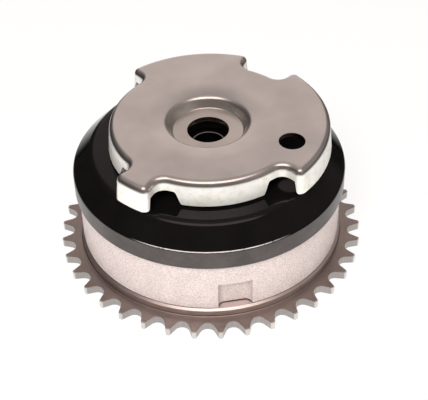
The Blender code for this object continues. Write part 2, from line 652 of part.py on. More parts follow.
def make_bias_spring(build, paint):
    """Spiral strip from a tang in the spring hub's slot out to a hook round the anchor pin."""
    bottom = PLATE_TOP + BIAS_SPRING_END_GAP
    top = SPRING_HUB_TOP
    path = [polar(SPRING_HUB_RADIUS - spring_slot_depth() + CLEARANCE, BIAS_START_ANGLE)]
    parts = round(BIAS_SPRING_TURNS * SPIRAL_STEPS)
    for i in range(parts + 1):
        share = i / parts
        path.append(polar(BIAS_START_RADIUS + share * (BIAS_END_RADIUS - BIAS_START_RADIUS),
                          BIAS_START_ANGLE + share * BIAS_SPRING_TURNS * 360))
    pin = polar(SPRING_PIN_CIRCLE, BIAS_END_ANGLE)
    hook_radius = SPRING_PIN_RADIUS + CLEARANCE + BIAS_STRIP_THICKNESS / 2
    for i in range(1, HOOK_STEPS + 1):
        path.append(pin + polar(hook_radius, BIAS_END_ANGLE + 180 + 180 * i / HOOK_STEPS))
    shape = bmesh.new()
    rows = [[shape.verts.new((point.x, point.y, z)) for point in path] for z in (bottom, top)]
    for i in range(len(path) - 1):
        shape.faces.new((rows[0][i], rows[0][i + 1], rows[1][i + 1], rows[1][i]))
    spring = build.piece("bias_spring", mesh_from_bmesh("bias_spring", shape), paint)
    strip = spring.modifiers.new("strip", "SOLIDIFY")
    strip.thickness = BIAS_STRIP_THICKNESS
    strip.offset = 0
    strip.use_even_offset = True
    shade(spring, angle=40.0)


# Rotor

def spring_slot_depth():
    """Depth of the slot in the spring hub for the bias spring's tang."""
    return SPRING_HUB_RADIUS - NOSE_RADIUS - BIAS_STRIP_THICKNESS


def make_rotor(build, paint, parent):
    """Hub with four vanes, spring hub and nose, with its bore, recess, slots and drillings."""
    outline = stepped_outline(HUB_RADIUS, VANE_TIP_RADIUS, sectors_about(VANE_ANGLES, VANE_ANGLE),
                              LOBE_TIP_FILLET, LOBE_TIP_FILLET,
                              high_slot=VANE_TIP_RADIUS - SEAL_SLOT_DEPTH)
    lock_bore = circle(LOCK_BORE_RADIUS, LOCK_BORE_STEPS, polar(LOCK_CIRCLE, LOCK_ANGLE))
    rotor = build.piece("rotor", extruded_mesh("rotor", [outline, lock_bore], DRUM_BOTTOM, DRUM_TOP), paint,
                        parent=parent)

    inside = DRUM_TOP - OVERCUT
    profile = [(0, NOSE_TOP), (NOSE_RADIUS, NOSE_TOP), (NOSE_RADIUS, SPRING_HUB_TOP),
               (SPRING_HUB_RADIUS - SPRING_HUB_CHAMFER, SPRING_HUB_TOP),
               (SPRING_HUB_RADIUS, SPRING_HUB_TOP - SPRING_HUB_CHAMFER), (SPRING_HUB_RADIUS, inside),
               (0, inside)]
    boss = build.cutter("rotor_boss", turned_mesh("rotor_boss", profile, HUB_STEPS, closed=False))
    add_boolean(rotor, boss, "UNION")

    recess_top = DRUM_BOTTOM + CAM_RECESS_DEPTH
    above, below = NOSE_TOP + OVERCUT, DRUM_BOTTOM - OVERCUT
    profile = [(0, above), (BOLT_BORE_RADIUS, above), (BOLT_BORE_RADIUS, recess_top),
               (CAM_RECESS_RADIUS, recess_top), (CAM_RECESS_RADIUS, below), (0, below)]
    quarter_facet = 90 / BORE_STEPS
    bore = build.cutter("rotor_bore", turned_mesh("rotor_bore", profile, BORE_STEPS, closed=False),
                        turn=quarter_facet)
    add_boolean(rotor, bore)

    add_boolean(rotor, build.cutter("rotor_slots", rotor_slots_mesh()))
    x, y = polar(SLEEVE_DOWEL_CIRCLE, SLEEVE_DOWEL_ANGLE)
    cam_x, cam_y = polar(CAM_DOWEL_CIRCLE, LOCK_ANGLE)
    drills = [(x, y, NOSE_TOP - SLEEVE_DOWEL_DEPTH - CLEARANCE, NOSE_TOP + OVERCUT,
               SLEEVE_DOWEL_RADIUS + CLEARANCE, SMALL_STEPS),
              (cam_x, cam_y, recess_top - OVERCUT, recess_top + CAM_RECESS_DEPTH,
               CAM_DOWEL_HOLE_RADIUS, SMALL_STEPS)]
    add_boolean(rotor, build.cutter("rotor_dowel_holes", drills_mesh("rotor_dowel_holes", drills)))
    add_boolean(rotor, build.cutter("oil_drillings", oil_drillings_mesh()))
    shade(rotor)


def box_into(shape, low, high, turn):
    """Add a box between two corners, turned about Z by an angle in degrees."""
    size = [h - l for l, h in zip(low, high)]
    middle = [(h + l) / 2 for l, h in zip(low, high)]
    place = Matrix.Rotation(math.radians(turn), 4, "Z") @ Matrix.Translation(middle)
    bmesh.ops.create_cube(shape, size=1, matrix=place @ Matrix.Diagonal((*size, 1)))


def rotor_slots_mesh():
    """The tang's slot in the spring hub and the oil slots in the hub's rear face."""
    shape = bmesh.new()
    tang_half = BIAS_STRIP_THICKNESS / 2 + CLEARANCE
    box_into(shape, (SPRING_HUB_RADIUS - spring_slot_depth(), -tang_half, PLATE_TOP + CLEARANCE),
             (SPRING_HUB_RADIUS + OVERCUT, tang_half, SPRING_HUB_TOP + CLEARANCE), BIAS_START_ANGLE)
    for angle in VANE_ANGLES:
        box_into(shape, (CAM_RECESS_RADIUS - OVERCUT, -OIL_SLOT_WIDTH / 2, DRUM_BOTTOM - OVERCUT),
                 (HUB_RADIUS + OVERCUT, OIL_SLOT_WIDTH / 2, DRUM_BOTTOM + OIL_SLOT_DEPTH),
                 angle - oil_port_offset())
    return mesh_from_bmesh("rotor_slots", shape)


def oil_port_offset():
    """Angle from a vane's middle to the ports beside it."""
    return VANE_ANGLE / 2 + math.degrees((LOBE_TIP_FILLET + OIL_SLOT_WIDTH / 2) / HUB_RADIUS)


def oil_drillings_mesh():
    """Radial drillings from the bolt bore out to the other side of each vane."""
    shape = bmesh.new()
    start = BOLT_BORE_RADIUS - OVERCUT
    length = HUB_RADIUS + OVERCUT - start
    middle = start + length / 2
    height = DRUM_BOTTOM + DRUM_HEIGHT / 2
    for angle in VANE_ANGLES:
        matrix = (Matrix.Rotation(math.radians(angle + oil_port_offset()), 4, "Z")
                  @ Matrix.Translation((middle, 0, height)) @ Matrix.Rotation(math.pi / 2, 4, "Y"))
        bmesh.ops.create_cone(shape, cap_ends=True, segments=SMALL_STEPS, radius1=OIL_DRILLING_RADIUS,
                              radius2=OIL_DRILLING_RADIUS, depth=length, matrix=matrix)
    return mesh_from_bmesh("oil_drillings", shape)


def seal_mesh(name, tip_radius, bottom_radius):
    """Bar along Z whose tip is rounded towards tip_radius; the other end faces its spring."""
    half = SEAL_WIDTH / 2
    side = math.copysign(SEAL_CROWN, bottom_radius - tip_radius)
    corners = [(bottom_radius, -half), (bottom_radius, half), (tip_radius + side, half),
               (tip_radius, half / 2), (tip_radius, -half / 2), (tip_radius + side, -half)]
    outline = [Vector(corner) for corner in corners]
    return extruded_mesh(name, [outline], DRUM_BOTTOM + CLEARANCE, DRUM_TOP - CLEARANCE)


def seal_spring_mesh(name, seal_radius, floor_radius):
    """Leaf arched along Z: its ends rest towards the slot's floor, its middle on the seal."""
    towards_seal = math.copysign(1, seal_radius - floor_radius)
    low = floor_radius + towards_seal * (CLEARANCE + SEAL_SPRING_THICKNESS / 2)
    bottom = DRUM_BOTTOM + 2 * CLEARANCE
    top = DRUM_TOP - 2 * CLEARANCE
    half = SEAL_WIDTH / 2
    parts = 4
    shape = bmesh.new()
    rows = []
    for i in range(parts + 1):
        share = i / parts
        radius = low + towards_seal * SEAL_SPRING_RISE * math.sin(math.pi * share)
        z = bottom + share * (top - bottom)
        rows.append([shape.verts.new((radius, y, z)) for y in (-half, half)])
    for first, second in zip(rows, rows[1:]):
        shape.faces.new((first[0], first[1], second[1], second[0]))
    holder = link_object(name, mesh_from_bmesh(name, shape), bpy.context.scene.collection)
    leaf = holder.modifiers.new("leaf", "SOLIDIFY")
    leaf.thickness = SEAL_SPRING_THICKNESS
    leaf.offset = 0
    mesh = evaluated_mesh(holder)
    bpy.data.objects.remove(holder, do_unlink=True)
    return mesh


def make_seals(build, seal_paint, spring_paint, kind, angles, tip_radius, inward, parent=None):
    """Seal and leaf spring in each slot. inward is -1 where the slot's floor is nearer the axis."""
    bottom_radius = tip_radius + inward * SEAL_DEPTH
    floor_radius = bottom_radius + inward * SEAL_SPRING_SPACE
    seal = seal_mesh("%s_seal" % kind, tip_radius, bottom_radius)
    leaf = seal_spring_mesh("%s_seal_spring" % kind, bottom_radius, floor_radius)
    for number, angle in enumerate(angles, start=1):
        shade(build.piece("%s_seal_%d" % (kind, number), seal, seal_paint, turn=angle, parent=parent))
        shade(build.piece("%s_seal_spring_%d" % (kind, number), leaf, spring_paint, turn=angle,
                          parent=parent))


def make_lock(build, paints, parent):
    """Lock pin, its sleeve, spring and spring seat in the vane, and its bush in the sprocket."""
    x, y = polar(LOCK_CIRCLE, LOCK_ANGLE)
    place = (x, y, 0)
    bore_floor = LOCK_PIN_TOP - LOCK_SPRING_BORE_DEPTH
    bore = LOCK_SPRING_BORE_RADIUS
    profile = [(0, bore_floor), (bore, bore_floor), (bore, LOCK_PIN_TOP),
               (LOCK_PIN_RADIUS, LOCK_PIN_TOP), (LOCK_PIN_RADIUS, LOCK_PIN_BOTTOM + LOCK_PIN_CHAMFER),
               (LOCK_PIN_RADIUS - LOCK_PIN_CHAMFER, LOCK_PIN_BOTTOM), (0, LOCK_PIN_BOTTOM)]
    mesh = turned_mesh("lock_pin", profile, LOCK_STEPS, closed=False)
    shade(build.piece("lock_pin", mesh, paints["hard_steel"], location=place))

    mesh = ring_mesh("lock_pin_sleeve", LOCK_SLEEVE_BORE, LOCK_SLEEVE_RADIUS, DRUM_BOTTOM, LOCK_SLEEVE_TOP,
                     LOCK_STEPS)
    shade(build.piece("lock_pin_sleeve", mesh, paints["hard_steel"], location=place, parent=parent))

    seat_bottom = LOCK_SLEEVE_TOP + CLEARANCE
    mesh = ring_mesh("lock_spring_seat", SPRING_SEAT_HOLE_RADIUS, LOCK_SLEEVE_RADIUS, seat_bottom, DRUM_TOP,
                     LOCK_STEPS)
    shade(build.piece("lock_spring_seat", mesh, paints["plate_steel"], location=place, parent=parent))

    bush_bottom = SPROCKET_TOP - LOCK_SEAT_DEPTH
    mesh = ring_mesh("lock_seat_bush", LOCK_SLEEVE_BORE, LOCK_SLEEVE_RADIUS, bush_bottom, SPROCKET_TOP,
                     LOCK_STEPS)
    shade(build.piece("lock_seat_bush", mesh, paints["hard_steel"], location=place))

    coil_radius = bore - CLEARANCE - LOCK_SPRING_WIRE / 2
    start = bore_floor + CLEARANCE + LOCK_SPRING_WIRE / 2
    end = seat_bottom - CLEARANCE - LOCK_SPRING_WIRE / 2
    make_coil(build, "lock_spring", coil_radius, start, end, paints["spring_steel"], place, parent)


def make_coil(build, name, radius, start, end, paint, place, parent):
    """Compression spring of round wire about its own axis."""
    curve = bpy.data.curves.new(name, "CURVE")
    curve.dimensions = "3D"
    curve.bevel_depth = LOCK_SPRING_WIRE / 2
    curve.bevel_resolution = 1
    curve.use_fill_caps = True
    spline = curve.splines.new("POLY")
    count = LOCK_SPRING_TURNS * COIL_STEPS + 1
    spline.points.add(count - 1)
    for i, point in enumerate(spline.points):
        flat = polar(radius, 360 * i / COIL_STEPS)
        point.co = (flat.x, flat.y, start + (end - start) * i / (count - 1), 1.0)
    holder = link_object(name, curve, bpy.context.scene.collection)
    mesh = evaluated_mesh(holder)
    bpy.data.objects.remove(holder, do_unlink=True)
    shape = bmesh.new()
    shape.from_mesh(mesh)
    bmesh.ops.remove_doubles(shape, verts=shape.verts, dist=1e-6)
    shade(build.piece(name, mesh_from_bmesh(name, shape), paint, location=place, parent=parent))


# Trigger wheel

def skirt_depth(point):
    """How far the wheel's edge hangs below its top face at a point of the outline."""
    up_corner = (point.length - WHEEL_LOBE_RADIUS + WHEEL_LOBE_CORNER) / (WHEEL_LOBE_CORNER / 2)
    angle = math.degrees(math.atan2(point.y, point.x))
    turns = [abs((angle - edge + 180) % 360 - 180) for lobe in WHEEL_LOBES for edge in lobe]
    from_lobe = math.radians(min(turns)) * WHEEL_GAP_RADIUS
    past_relief = (from_lobe - WHEEL_RELIEF_ARC) / WHEEL_RELIEF_RAMP
    share = min(1.0, max(0.0, up_corner, past_relief))
    eased = share * share * (3 - 2 * share)
    return WHEEL_RELIEF_DEPTH + eased * (WHEEL_SKIRT_DEPTH - WHEEL_RELIEF_DEPTH)


def outline_normals(points):
    """Outward normals of an anticlockwise outline."""
    normals = []
    for i, point in enumerate(points):
        ahead = points[(i + 1) % len(points)] - point
        behind = point - points[i - 1]
        along = ahead.normalized() + behind.normalized()
        normals.append(Vector((along.y, -along.x)).normalized())
    return normals


def dish_profile():
    """(radius, height) of the wheel's dished middle, from its bore out to the flat rim."""
    wall = math.radians(WHEEL_DISH_WALL_ANGLE)
    edge = math.radians(WHEEL_DISH_EDGE_ANGLE)
    fold_rise = WHEEL_DISH_FOLD_RADIUS * (1 - math.cos(wall))
    edge_rise = WHEEL_DISH_EDGE_RADIUS * (math.cos(edge) - math.cos(wall))
    slope_rise = WHEEL_DISH_SLOPE_RADIUS * (1 - math.cos(edge))
    wall_rise = WHEEL_DISH_DEPTH - fold_rise - edge_rise - slope_rise
    radius = WHEEL_SEAT_RADIUS
    height = WHEEL_SEAT_TOP
    points = [(WHEEL_BORE_RADIUS, height)]
    points += bend(radius, height + WHEEL_DISH_FOLD_RADIUS, WHEEL_DISH_FOLD_RADIUS,
                   -90, WHEEL_DISH_WALL_ANGLE - 90, parts=2)
    radius += WHEEL_DISH_FOLD_RADIUS * math.sin(wall) + wall_rise / math.tan(wall)
    height += fold_rise + wall_rise
    points += bend(radius + WHEEL_DISH_EDGE_RADIUS * math.sin(wall),
                   height - WHEEL_DISH_EDGE_RADIUS * math.cos(wall),
                   WHEEL_DISH_EDGE_RADIUS, 90 + WHEEL_DISH_WALL_ANGLE, 90 + WHEEL_DISH_EDGE_ANGLE, parts=3)
    radius += WHEEL_DISH_EDGE_RADIUS * (math.sin(wall) - math.sin(edge))
    height += edge_rise
    return points + bend(radius + WHEEL_DISH_SLOPE_RADIUS * math.sin(edge),
                         height - WHEEL_DISH_SLOPE_RADIUS * math.cos(edge),
                         WHEEL_DISH_SLOPE_RADIUS, 90 + WHEEL_DISH_EDGE_ANGLE, 90, parts=2)[1:]


def join_rings(shape, lower, upper):
    """Quads between two rings with as many points each."""
    for i in range(len(lower)):
        j = (i + 1) % len(lower)
        shape.faces.new((lower[i], lower[j], upper[j], upper[i]))


def loop_edges(shape, ring):
    """The edges round a ring of vertices, made where they are missing."""
    edges = []
    for i, vert in enumerate(ring):
        after = ring[(i + 1) % len(ring)]
        edges.append(shape.edges.get((vert, after)) or shape.edges.new((vert, after)))
    return edges


def make_trigger_wheel(build, paint, parent):
    """Stamped wheel: a skin with its bent edge, dished middle and hole, thickened to sheet."""
    ramp_step = WHEEL_RELIEF_RAMP / WHEEL_RELIEF_STEPS
    marks = [WHEEL_RELIEF_ARC + ramp_step * i for i in range(WHEEL_RELIEF_STEPS + 1)]
    outline = stepped_outline(WHEEL_GAP_RADIUS, WHEEL_LOBE_RADIUS, WHEEL_LOBES, WHEEL_NOTCH_FILLET,
                              WHEEL_LOBE_CORNER, step=FINE_ARC_STEP, parts=4, low_marks=marks)
    normals = outline_normals(outline)
    shape = bmesh.new()
    flare = math.radians(WHEEL_SKIRT_FLARE)
    bend_drop = WHEEL_BEND_RADIUS * (1 - math.sin(flare))
    bend_end = (WHEEL_SKIRT_DEPTH - bend_drop) * math.tan(flare)
    rings = [[]]
    for point, normal in zip(outline, normals):
        depth = skirt_depth(point)
        place = point - normal * (WHEEL_SKIRT_DEPTH - depth) * math.tan(flare)
        rings[0].append(shape.verts.new((*place, WHEEL_TOP - depth)))
    bends = 3
    for i in range(bends + 1):
        turn = flare + (math.pi / 2 - flare) * i / bends
        inset = bend_end + WHEEL_BEND_RADIUS * (math.cos(flare) - math.cos(turn))
        height = WHEEL_TOP - WHEEL_BEND_RADIUS * (1 - math.sin(turn))
        rings.append([shape.verts.new((*(p - n * inset), height)) for p, n in zip(outline, normals)])
    for lower, upper in zip(rings, rings[1:]):
        join_rings(shape, lower, upper)

    dish = [[shape.verts.new((*point, height)) for point in circle(radius, DISH_STEPS)]
            for radius, height in dish_profile()]
    for inner, outer in zip(dish, dish[1:]):
        join_rings(shape, outer, inner)
    hole = [shape.verts.new((*point, WHEEL_TOP)) for point in
            circle(WHEEL_HOLE_RADIUS, BORE_STEPS, polar(WHEEL_HOLE_CIRCLE, WHEEL_HOLE_ANGLE))]
    face_edges = loop_edges(shape, rings[-1]) + loop_edges(shape, dish[-1]) + loop_edges(shape, hole)
    bmesh.ops.triangle_fill(shape, use_beauty=True, edges=face_edges, normal=(0, 0, 1))
    bmesh.ops.recalc_face_normals(shape, faces=shape.faces)
    if sum(face.normal.z for face in shape.faces) < 0:
        bmesh.ops.reverse_faces(shape, faces=shape.faces)
    wheel = build.piece("reluctor_wheel", mesh_from_bmesh("reluctor_wheel", shape), paint, parent=parent)
    sheet = wheel.modifiers.new("sheet", "SOLIDIFY")
    sheet.thickness = WHEEL_SHEET
    sheet.offset = -1
    sheet.use_even_offset = True
    shade(wheel)


def make_hub_sleeve(build, paint, pin_paint, parent):
    """Sleeve between the rotor's nose and the trigger wheel's seat, with the dowel that sets it."""
    x, y = polar(SLEEVE_DOWEL_CIRCLE, SLEEVE_DOWEL_ANGLE)
    loops = [circle(NOSE_RADIUS, HUB_STEPS), circle(SLEEVE_BORE_RADIUS, BORE_STEPS),
             circle(SLEEVE_DOWEL_RADIUS + CLEARANCE, SMALL_STEPS, (x, y))]
    mesh = extruded_mesh("hub_sleeve", loops, SLEEVE_BOTTOM, SLEEVE_TOP)
    shade(build.piece("hub_sleeve", mesh, paint, parent=parent))
    mesh = drills_mesh("sleeve_dowel", [(0, 0, NOSE_TOP - SLEEVE_DOWEL_DEPTH, SLEEVE_TOP,
                                         SLEEVE_DOWEL_RADIUS, SMALL_STEPS)])
    shade(build.piece("sleeve_dowel", mesh, pin_paint, location=(x, y, 0), parent=parent))


def main():
    """Build the whole phaser."""
    clear_scene()
    build = Builder()
    paints = {
        "machined_steel": new_material("machined_steel", (0.42, 0.38, 0.36), 0.35, 1.0),
        "sintered_steel": new_material("sintered_steel", (0.68, 0.62, 0.60), 0.55, 0.8),
        "black_coat": new_material("black_coat", (0.012, 0.012, 0.011), 0.25, 0.0),
        "plate_steel": new_material("plate_steel", (0.50, 0.49, 0.48), 0.35, 1.0),
        "rotor_steel": new_material("rotor_steel", (0.45, 0.44, 0.43), 0.40, 1.0),
        "hard_steel": new_material("hard_steel", (0.55, 0.55, 0.56), 0.20, 1.0),
        "spring_steel": new_material("spring_steel", (0.30, 0.29, 0.30), 0.30, 1.0),
        "screw_steel": new_material("screw_steel", (0.16, 0.16, 0.17), 0.40, 1.0),
        "seal_polymer": new_material("seal_polymer", (0.09, 0.07, 0.05), 0.60, 0.0),
        "wheel_steel": new_material("wheel_steel", (0.52, 0.49, 0.46), 0.30, 1.0),
    }

    make_sprocket(build, paints["machined_steel"])
    make_stator(build, paints["sintered_steel"])
    make_front_plate(build, paints["plate_steel"])
    make_front_cover(build, paints["black_coat"])
    make_screws(build, paints["screw_steel"])
    make_dowels(build, paints["hard_steel"])
    make_spring_pin(build, paints["hard_steel"])
    make_bias_spring(build, paints["spring_steel"])

    rotor_axis = build.axis("rotor_axis", (0, 0, 0))
    make_rotor(build, paints["rotor_steel"], rotor_axis)
    make_seals(build, paints["seal_polymer"], paints["spring_steel"], "vane", VANE_ANGLES,
               CHAMBER_RADIUS - SEAL_RUNNING_GAP, -1, rotor_axis)
    make_seals(build, paints["seal_polymer"], paints["spring_steel"], "lobe", LOBE_ANGLES,
               HUB_RADIUS + SEAL_RUNNING_GAP, 1)
    make_lock(build, paints, rotor_axis)
    make_hub_sleeve(build, paints["plate_steel"], paints["hard_steel"], rotor_axis)
    make_trigger_wheel(build, paints["wheel_steel"], rotor_axis)


main()
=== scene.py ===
"""Looks of the cam phaser: fine surfaces over its solids, materials, floor, light and camera."""

import json
import math
from collections import namedtuple

import bmesh
import bpy
from mathutils import Matrix, Vector

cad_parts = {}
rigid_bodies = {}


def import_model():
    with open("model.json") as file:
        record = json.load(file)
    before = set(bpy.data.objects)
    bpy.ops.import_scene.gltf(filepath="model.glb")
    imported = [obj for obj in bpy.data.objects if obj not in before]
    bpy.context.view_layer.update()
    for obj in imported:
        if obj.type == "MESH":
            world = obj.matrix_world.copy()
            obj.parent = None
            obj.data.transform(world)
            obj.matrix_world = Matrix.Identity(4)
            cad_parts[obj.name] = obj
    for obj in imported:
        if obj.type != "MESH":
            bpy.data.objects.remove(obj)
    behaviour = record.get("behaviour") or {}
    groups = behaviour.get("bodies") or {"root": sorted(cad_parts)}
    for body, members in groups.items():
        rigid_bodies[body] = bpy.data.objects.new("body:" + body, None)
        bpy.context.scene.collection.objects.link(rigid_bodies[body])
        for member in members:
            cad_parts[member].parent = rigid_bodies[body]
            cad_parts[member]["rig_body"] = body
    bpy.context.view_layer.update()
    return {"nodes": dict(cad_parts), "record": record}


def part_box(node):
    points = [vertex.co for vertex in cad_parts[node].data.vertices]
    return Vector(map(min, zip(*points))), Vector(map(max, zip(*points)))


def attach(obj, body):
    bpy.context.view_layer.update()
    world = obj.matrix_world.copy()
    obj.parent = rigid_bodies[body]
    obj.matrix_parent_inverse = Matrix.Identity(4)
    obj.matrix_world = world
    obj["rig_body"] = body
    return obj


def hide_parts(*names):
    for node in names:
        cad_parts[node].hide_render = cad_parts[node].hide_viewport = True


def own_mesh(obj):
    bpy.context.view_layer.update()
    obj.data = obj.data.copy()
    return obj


# Sizes that the frame doesn't give, in metres, as in the part's source
CLEARANCE = 0.0003
TOOTH_COUNT = 38
CHAIN_PITCH = 0.008
CHAIN_ROLLER_RADIUS = 0.0025
TOOTH_TIP_WIDTH = 0.0011
TOOTH_TIP_TERM = 0.6          # of a pitch, in the rule for a chain wheel's outside diameter
TOOTH_ROOT_DROP = 0.002
TOOTH_FLANK_ANGLE = 62.0
FIRST_TOOTH_ANGLE = -1.963
FLANGE_THICKNESS = 0.003
SPROCKET_RIM = 0.0026
SHOULDER_BEVEL_WIDTH = 0.0007
SHOULDER_BEVEL_DROP = 0.00056
SHOULDER_FILLET = 0.0004
CAM_JOURNAL_RADIUS = 0.017
DRUM_WALL = 0.0061
HUB_RADIUS = 0.0215
TIP_GAP = 0.0005
LOBE_COUNT = 4
LOBE_ANGLE = 36.0
FIRST_LOBE_ANGLE = 9.7
LOBE_ROOT_FILLET = 0.0015
LOBE_TIP_FILLET = 0.0018
SEAL_SLOT_WIDTH = 0.0024
SEAL_SLOT_DEPTH = 0.0034
SCREW_HOLE_RADIUS = 0.0033
DOWEL_HOLE_RADIUS = 0.0018
LOCK_BORE_RADIUS = 0.0048
LOCK_VENT_RADIUS = 0.0015
POCKET_ANGLE = 279.7
POCKET_WIDTH = 0.0108
POCKET_HEIGHT = 0.010
POCKET_DEPTH = 0.0026
POCKET_CORNER_RADIUS = 0.0022
COVER_SHEET = 0.0008
COVER_BAND_HEIGHT = 0.0066
COVER_BAND_RADIUS = 0.0016
COVER_CONE_RUN = 0.0064
COVER_TOP_BEND_RADIUS = 0.0034
COVER_OPENING_RADIUS = 0.0122
WHEEL_GAP_RADIUS = 0.0320
WHEEL_LOBES = ((-46.3, 42.4), (67.5, 131.4), (222.2, 242.2))
WHEEL_SHEET = 0.0016
WHEEL_BEND_RADIUS = 0.0019
WHEEL_SKIRT_FLARE = 5.0
WHEEL_LOBE_CORNER = 0.0026
WHEEL_NOTCH_FILLET = 0.0030
WHEEL_SKIRT_DEPTH = 0.0085
WHEEL_RELIEF_DEPTH = 0.0043
WHEEL_RELIEF_ARC = 0.0046
WHEEL_RELIEF_RAMP = 0.0026
WHEEL_TAB_LEAST = 0.004       # between two reliefs, a narrower tab of full depth is left out
WHEEL_BORE_RADIUS = 0.0067
WHEEL_SEAT_RADIUS = 0.0110
WHEEL_DISH_DEPTH = 0.0040
WHEEL_DISH_WALL_ANGLE = 62.0
WHEEL_DISH_EDGE_ANGLE = 10.0
WHEEL_DISH_FOLD_RADIUS = 0.0006
WHEEL_DISH_EDGE_RADIUS = 0.0022
WHEEL_DISH_SLOPE_RADIUS = 0.036
WHEEL_HOLE_RADIUS = 0.00415
WHEEL_HOLE_CIRCLE = 0.0285
WHEEL_HOLE_ANGLE = -25.3

# Edge breaks, and the angles from which an edge counts as sharp
TOOTH_EDGE = 0.00012
DRUM_EDGE = 0.00025
SHEET_EDGE = 0.0002
SMALL_EDGE = 0.00015
SMALL_EDGE_ANGLE = 35.0
DRUM_EDGE_ANGLE = 40.0
SHEET_EDGE_ANGLE = 50.0
SMOOTH_ANGLE = 38.0

# How finely round shapes are drawn
ROUND_STEPS = 240
HOLE_STEPS = 48
FLOOR_STEPS = 96
BEND_PARTS = 8
SEAT_PARTS = 10
OUTLINE_STEP = 1.5
MERGE_DISTANCE = 1e-6
FLAT_ANGLE = 0.3              # faces that meet at less than this become one
OVERCUT = 0.001               # how far a cutter reaches past the face that it opens

# Where a finish, a painted light or a painted shade differs: distances from the axis and heights
OIL_AND_SHADE_RADIUS = 0.0073
BORE_EDGE_RADII = (0.0052, 0.0054)
WHEEL_SEAT_TINT_RADIUS = 0.0112
WHEEL_SKIRT_RADII = (0.026, 0.060)
WHEEL_SKIRT_TOP = 0.0446
COVER_BAND_TOP = 0.0304
COVER_HIGHLIGHT_HEIGHT = 0.0308
COVER_HIGHLIGHT_WIDTH = 0.00018
COVER_HIGHLIGHT_FRONT = (-0.0365, -0.043)    # Y where the painted highlight begins and where it is full
TOOTH_HIGHLIGHT_RADII = (0.0504, 0.0520)
SHOULDER_HIGHLIGHT_HEIGHTS = (0.0034, 0.0068)

# How a finish varies, and how much painted shade darkens crevices
NOISE_RANGE = (0.3, 0.7)      # noise values at which the colour has changed in full
CREVICE_SHADE_RANGE = (0.25, 0.65)    # openness from which the painted shade in a crevice is darkest to where there is none
CREVICE_SHADE_REACH = 0.0012
CREVICE_SHADE_SAMPLES = 8
TURNING_MARK = 0.0003

# Floor. Its glow is the plain white that the camera and mirroring surfaces see of it.
FLOOR_RADIUS = 0.25
FLOOR_GAP = 0.0001
FLOOR_COLOR = (0.88, 0.88, 0.87, 1.0)
FLOOR_ROUGHNESS = 0.9
FLOOR_GLOW_COLOR = (1.0, 1.0, 0.995, 1.0)
FLOOR_GLOW_REACH = (0.21, 0.08)         # distance from the axis: no mirrored glow, full glow
FLOOR_GLOW_SHARE = 0.8                  # of what the camera sees; the rest keeps the shadow
FLOOR_MIRRORED_SHARE = (1.0, 0.85)      # the same in a mirroring surface, far out and near

# Room that lights the part. Ranges are the X, Y or Z of a direction; pairs of levels are (Z, grey).
OVERHEAD_LEVELS = ((0.0, 0.04), (0.33, 0.07), (0.66, 0.16), (0.85, 0.30), (1.0, 0.6))
BACKDROP_LEVELS = ((0.0, 0.75), (0.35, 0.76), (0.66, 0.64), (0.76, 0.38), (1.0, 0.45))
BACKDROP_SIDES = (0.50, 0.22)
BACKDROP_DEPTH = (0.0, 0.2)
FRONT_WALL_COLOR = (0.18, 0.18, 0.17, 1.0)
FRONT_WALL_DEPTH = (-0.3, -0.55)
BAR_HEIGHTS = (0.80, 0.94)
BAR_HEIGHT_FADE = 0.04
BAR_HALF_WIDTH = 0.42
BAR_WIDTH_FADE = 0.12
BAR_DEPTH = (-0.10, -0.24)
BAR_LEVEL = 2.4
WINDOW_HEIGHTS = (0.1, 0.6)
WINDOW_HEIGHT_FADE = 0.15
WINDOW_SIDE = (0.30, 0.80)
WINDOW_LEVEL = 0.16
ROOM_TINT = (1.0, 0.84, 0.79, 1.0)
PLAIN_WHITE = (1.0, 1.0, 1.0, 1.0)

# Lamp and camera
LAMP_PLACE = (-0.12, -0.60, 0.72)
LAMP_TARGET = (0.0, -0.05, 0.02)
LAMP_WIDTH = 0.5
LAMP_HEIGHT = 0.4
LAMP_RADIANCE = 16.0
CAMERA_PLACE = (0.00132, -0.26994, 0.24877)
CAMERA_AIM = (0.0, 0.7530, -0.6580)
CAMERA_ROLL = -1.43
CAMERA_LENS = 89.46
CAMERA_SENSOR = 36.0
CAMERA_CLIP_START = 0.01

for item in list(bpy.data.objects):
    bpy.data.objects.remove(item, do_unlink=True)
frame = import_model()
slots = {part["node"]: part["material_slot"] for part in frame["record"]["subparts"]}


# Outlines

def polar(radius, degrees):
    """A flat point from a radius and an angle in degrees."""
    angle = math.radians(degrees)
    return Vector((radius * math.cos(angle), radius * math.sin(angle)))


def circle(radius, steps=ROUND_STEPS, centre=(0.0, 0.0)):
    """A closed round outline."""
    middle = Vector(centre)
    return [middle + polar(radius, 360 * i / steps) for i in range(steps)]


def bend(centre_radius, centre_height, radius, start, end, parts=BEND_PARTS):
    """(radius, height) points of an arc in a profile, from a start angle to an end angle."""
    turns = [math.radians(start + (end - start) * i / parts) for i in range(parts + 1)]
    return [(centre_radius + radius * math.cos(t), centre_height + radius * math.sin(t)) for t in turns]


def arc_angles(start, end, step, marks=()):
    """Even angles from start to end, and the marks between them; an angle close to a mark gives way."""
    parts = max(1, round((end - start) / step + 0.5))
    angles = [start + (end - start) * i / parts for i in range(parts + 1)]
    inside = [mark for mark in marks if start < mark < end]
    close = step / 3
    kept = [a for a in angles if a in (start, end) or all(abs(a - mark) > close for mark in inside)]
    return sorted(kept + inside)


def rounded_corner(before, corner, after, side, parts=BEND_PARTS):
    """Points with outward normals on a quarter circle in place of a corner.

    side is 1 on a corner that stands out and -1 in a hollow one.
    """
    centre = before + after - corner
    turns = [math.pi / 2 * i / parts for i in range(parts + 1)]
    points = [centre + math.cos(t) * (corner - after) + math.sin(t) * (corner - before) for t in turns]
    return [(point, (point - centre).normalized() * side) for point in points]


def round_points(radius, angles):
    """Points with outward normals on an arc round the axis."""
    return [(polar(radius, a), polar(1.0, a)) for a in angles]


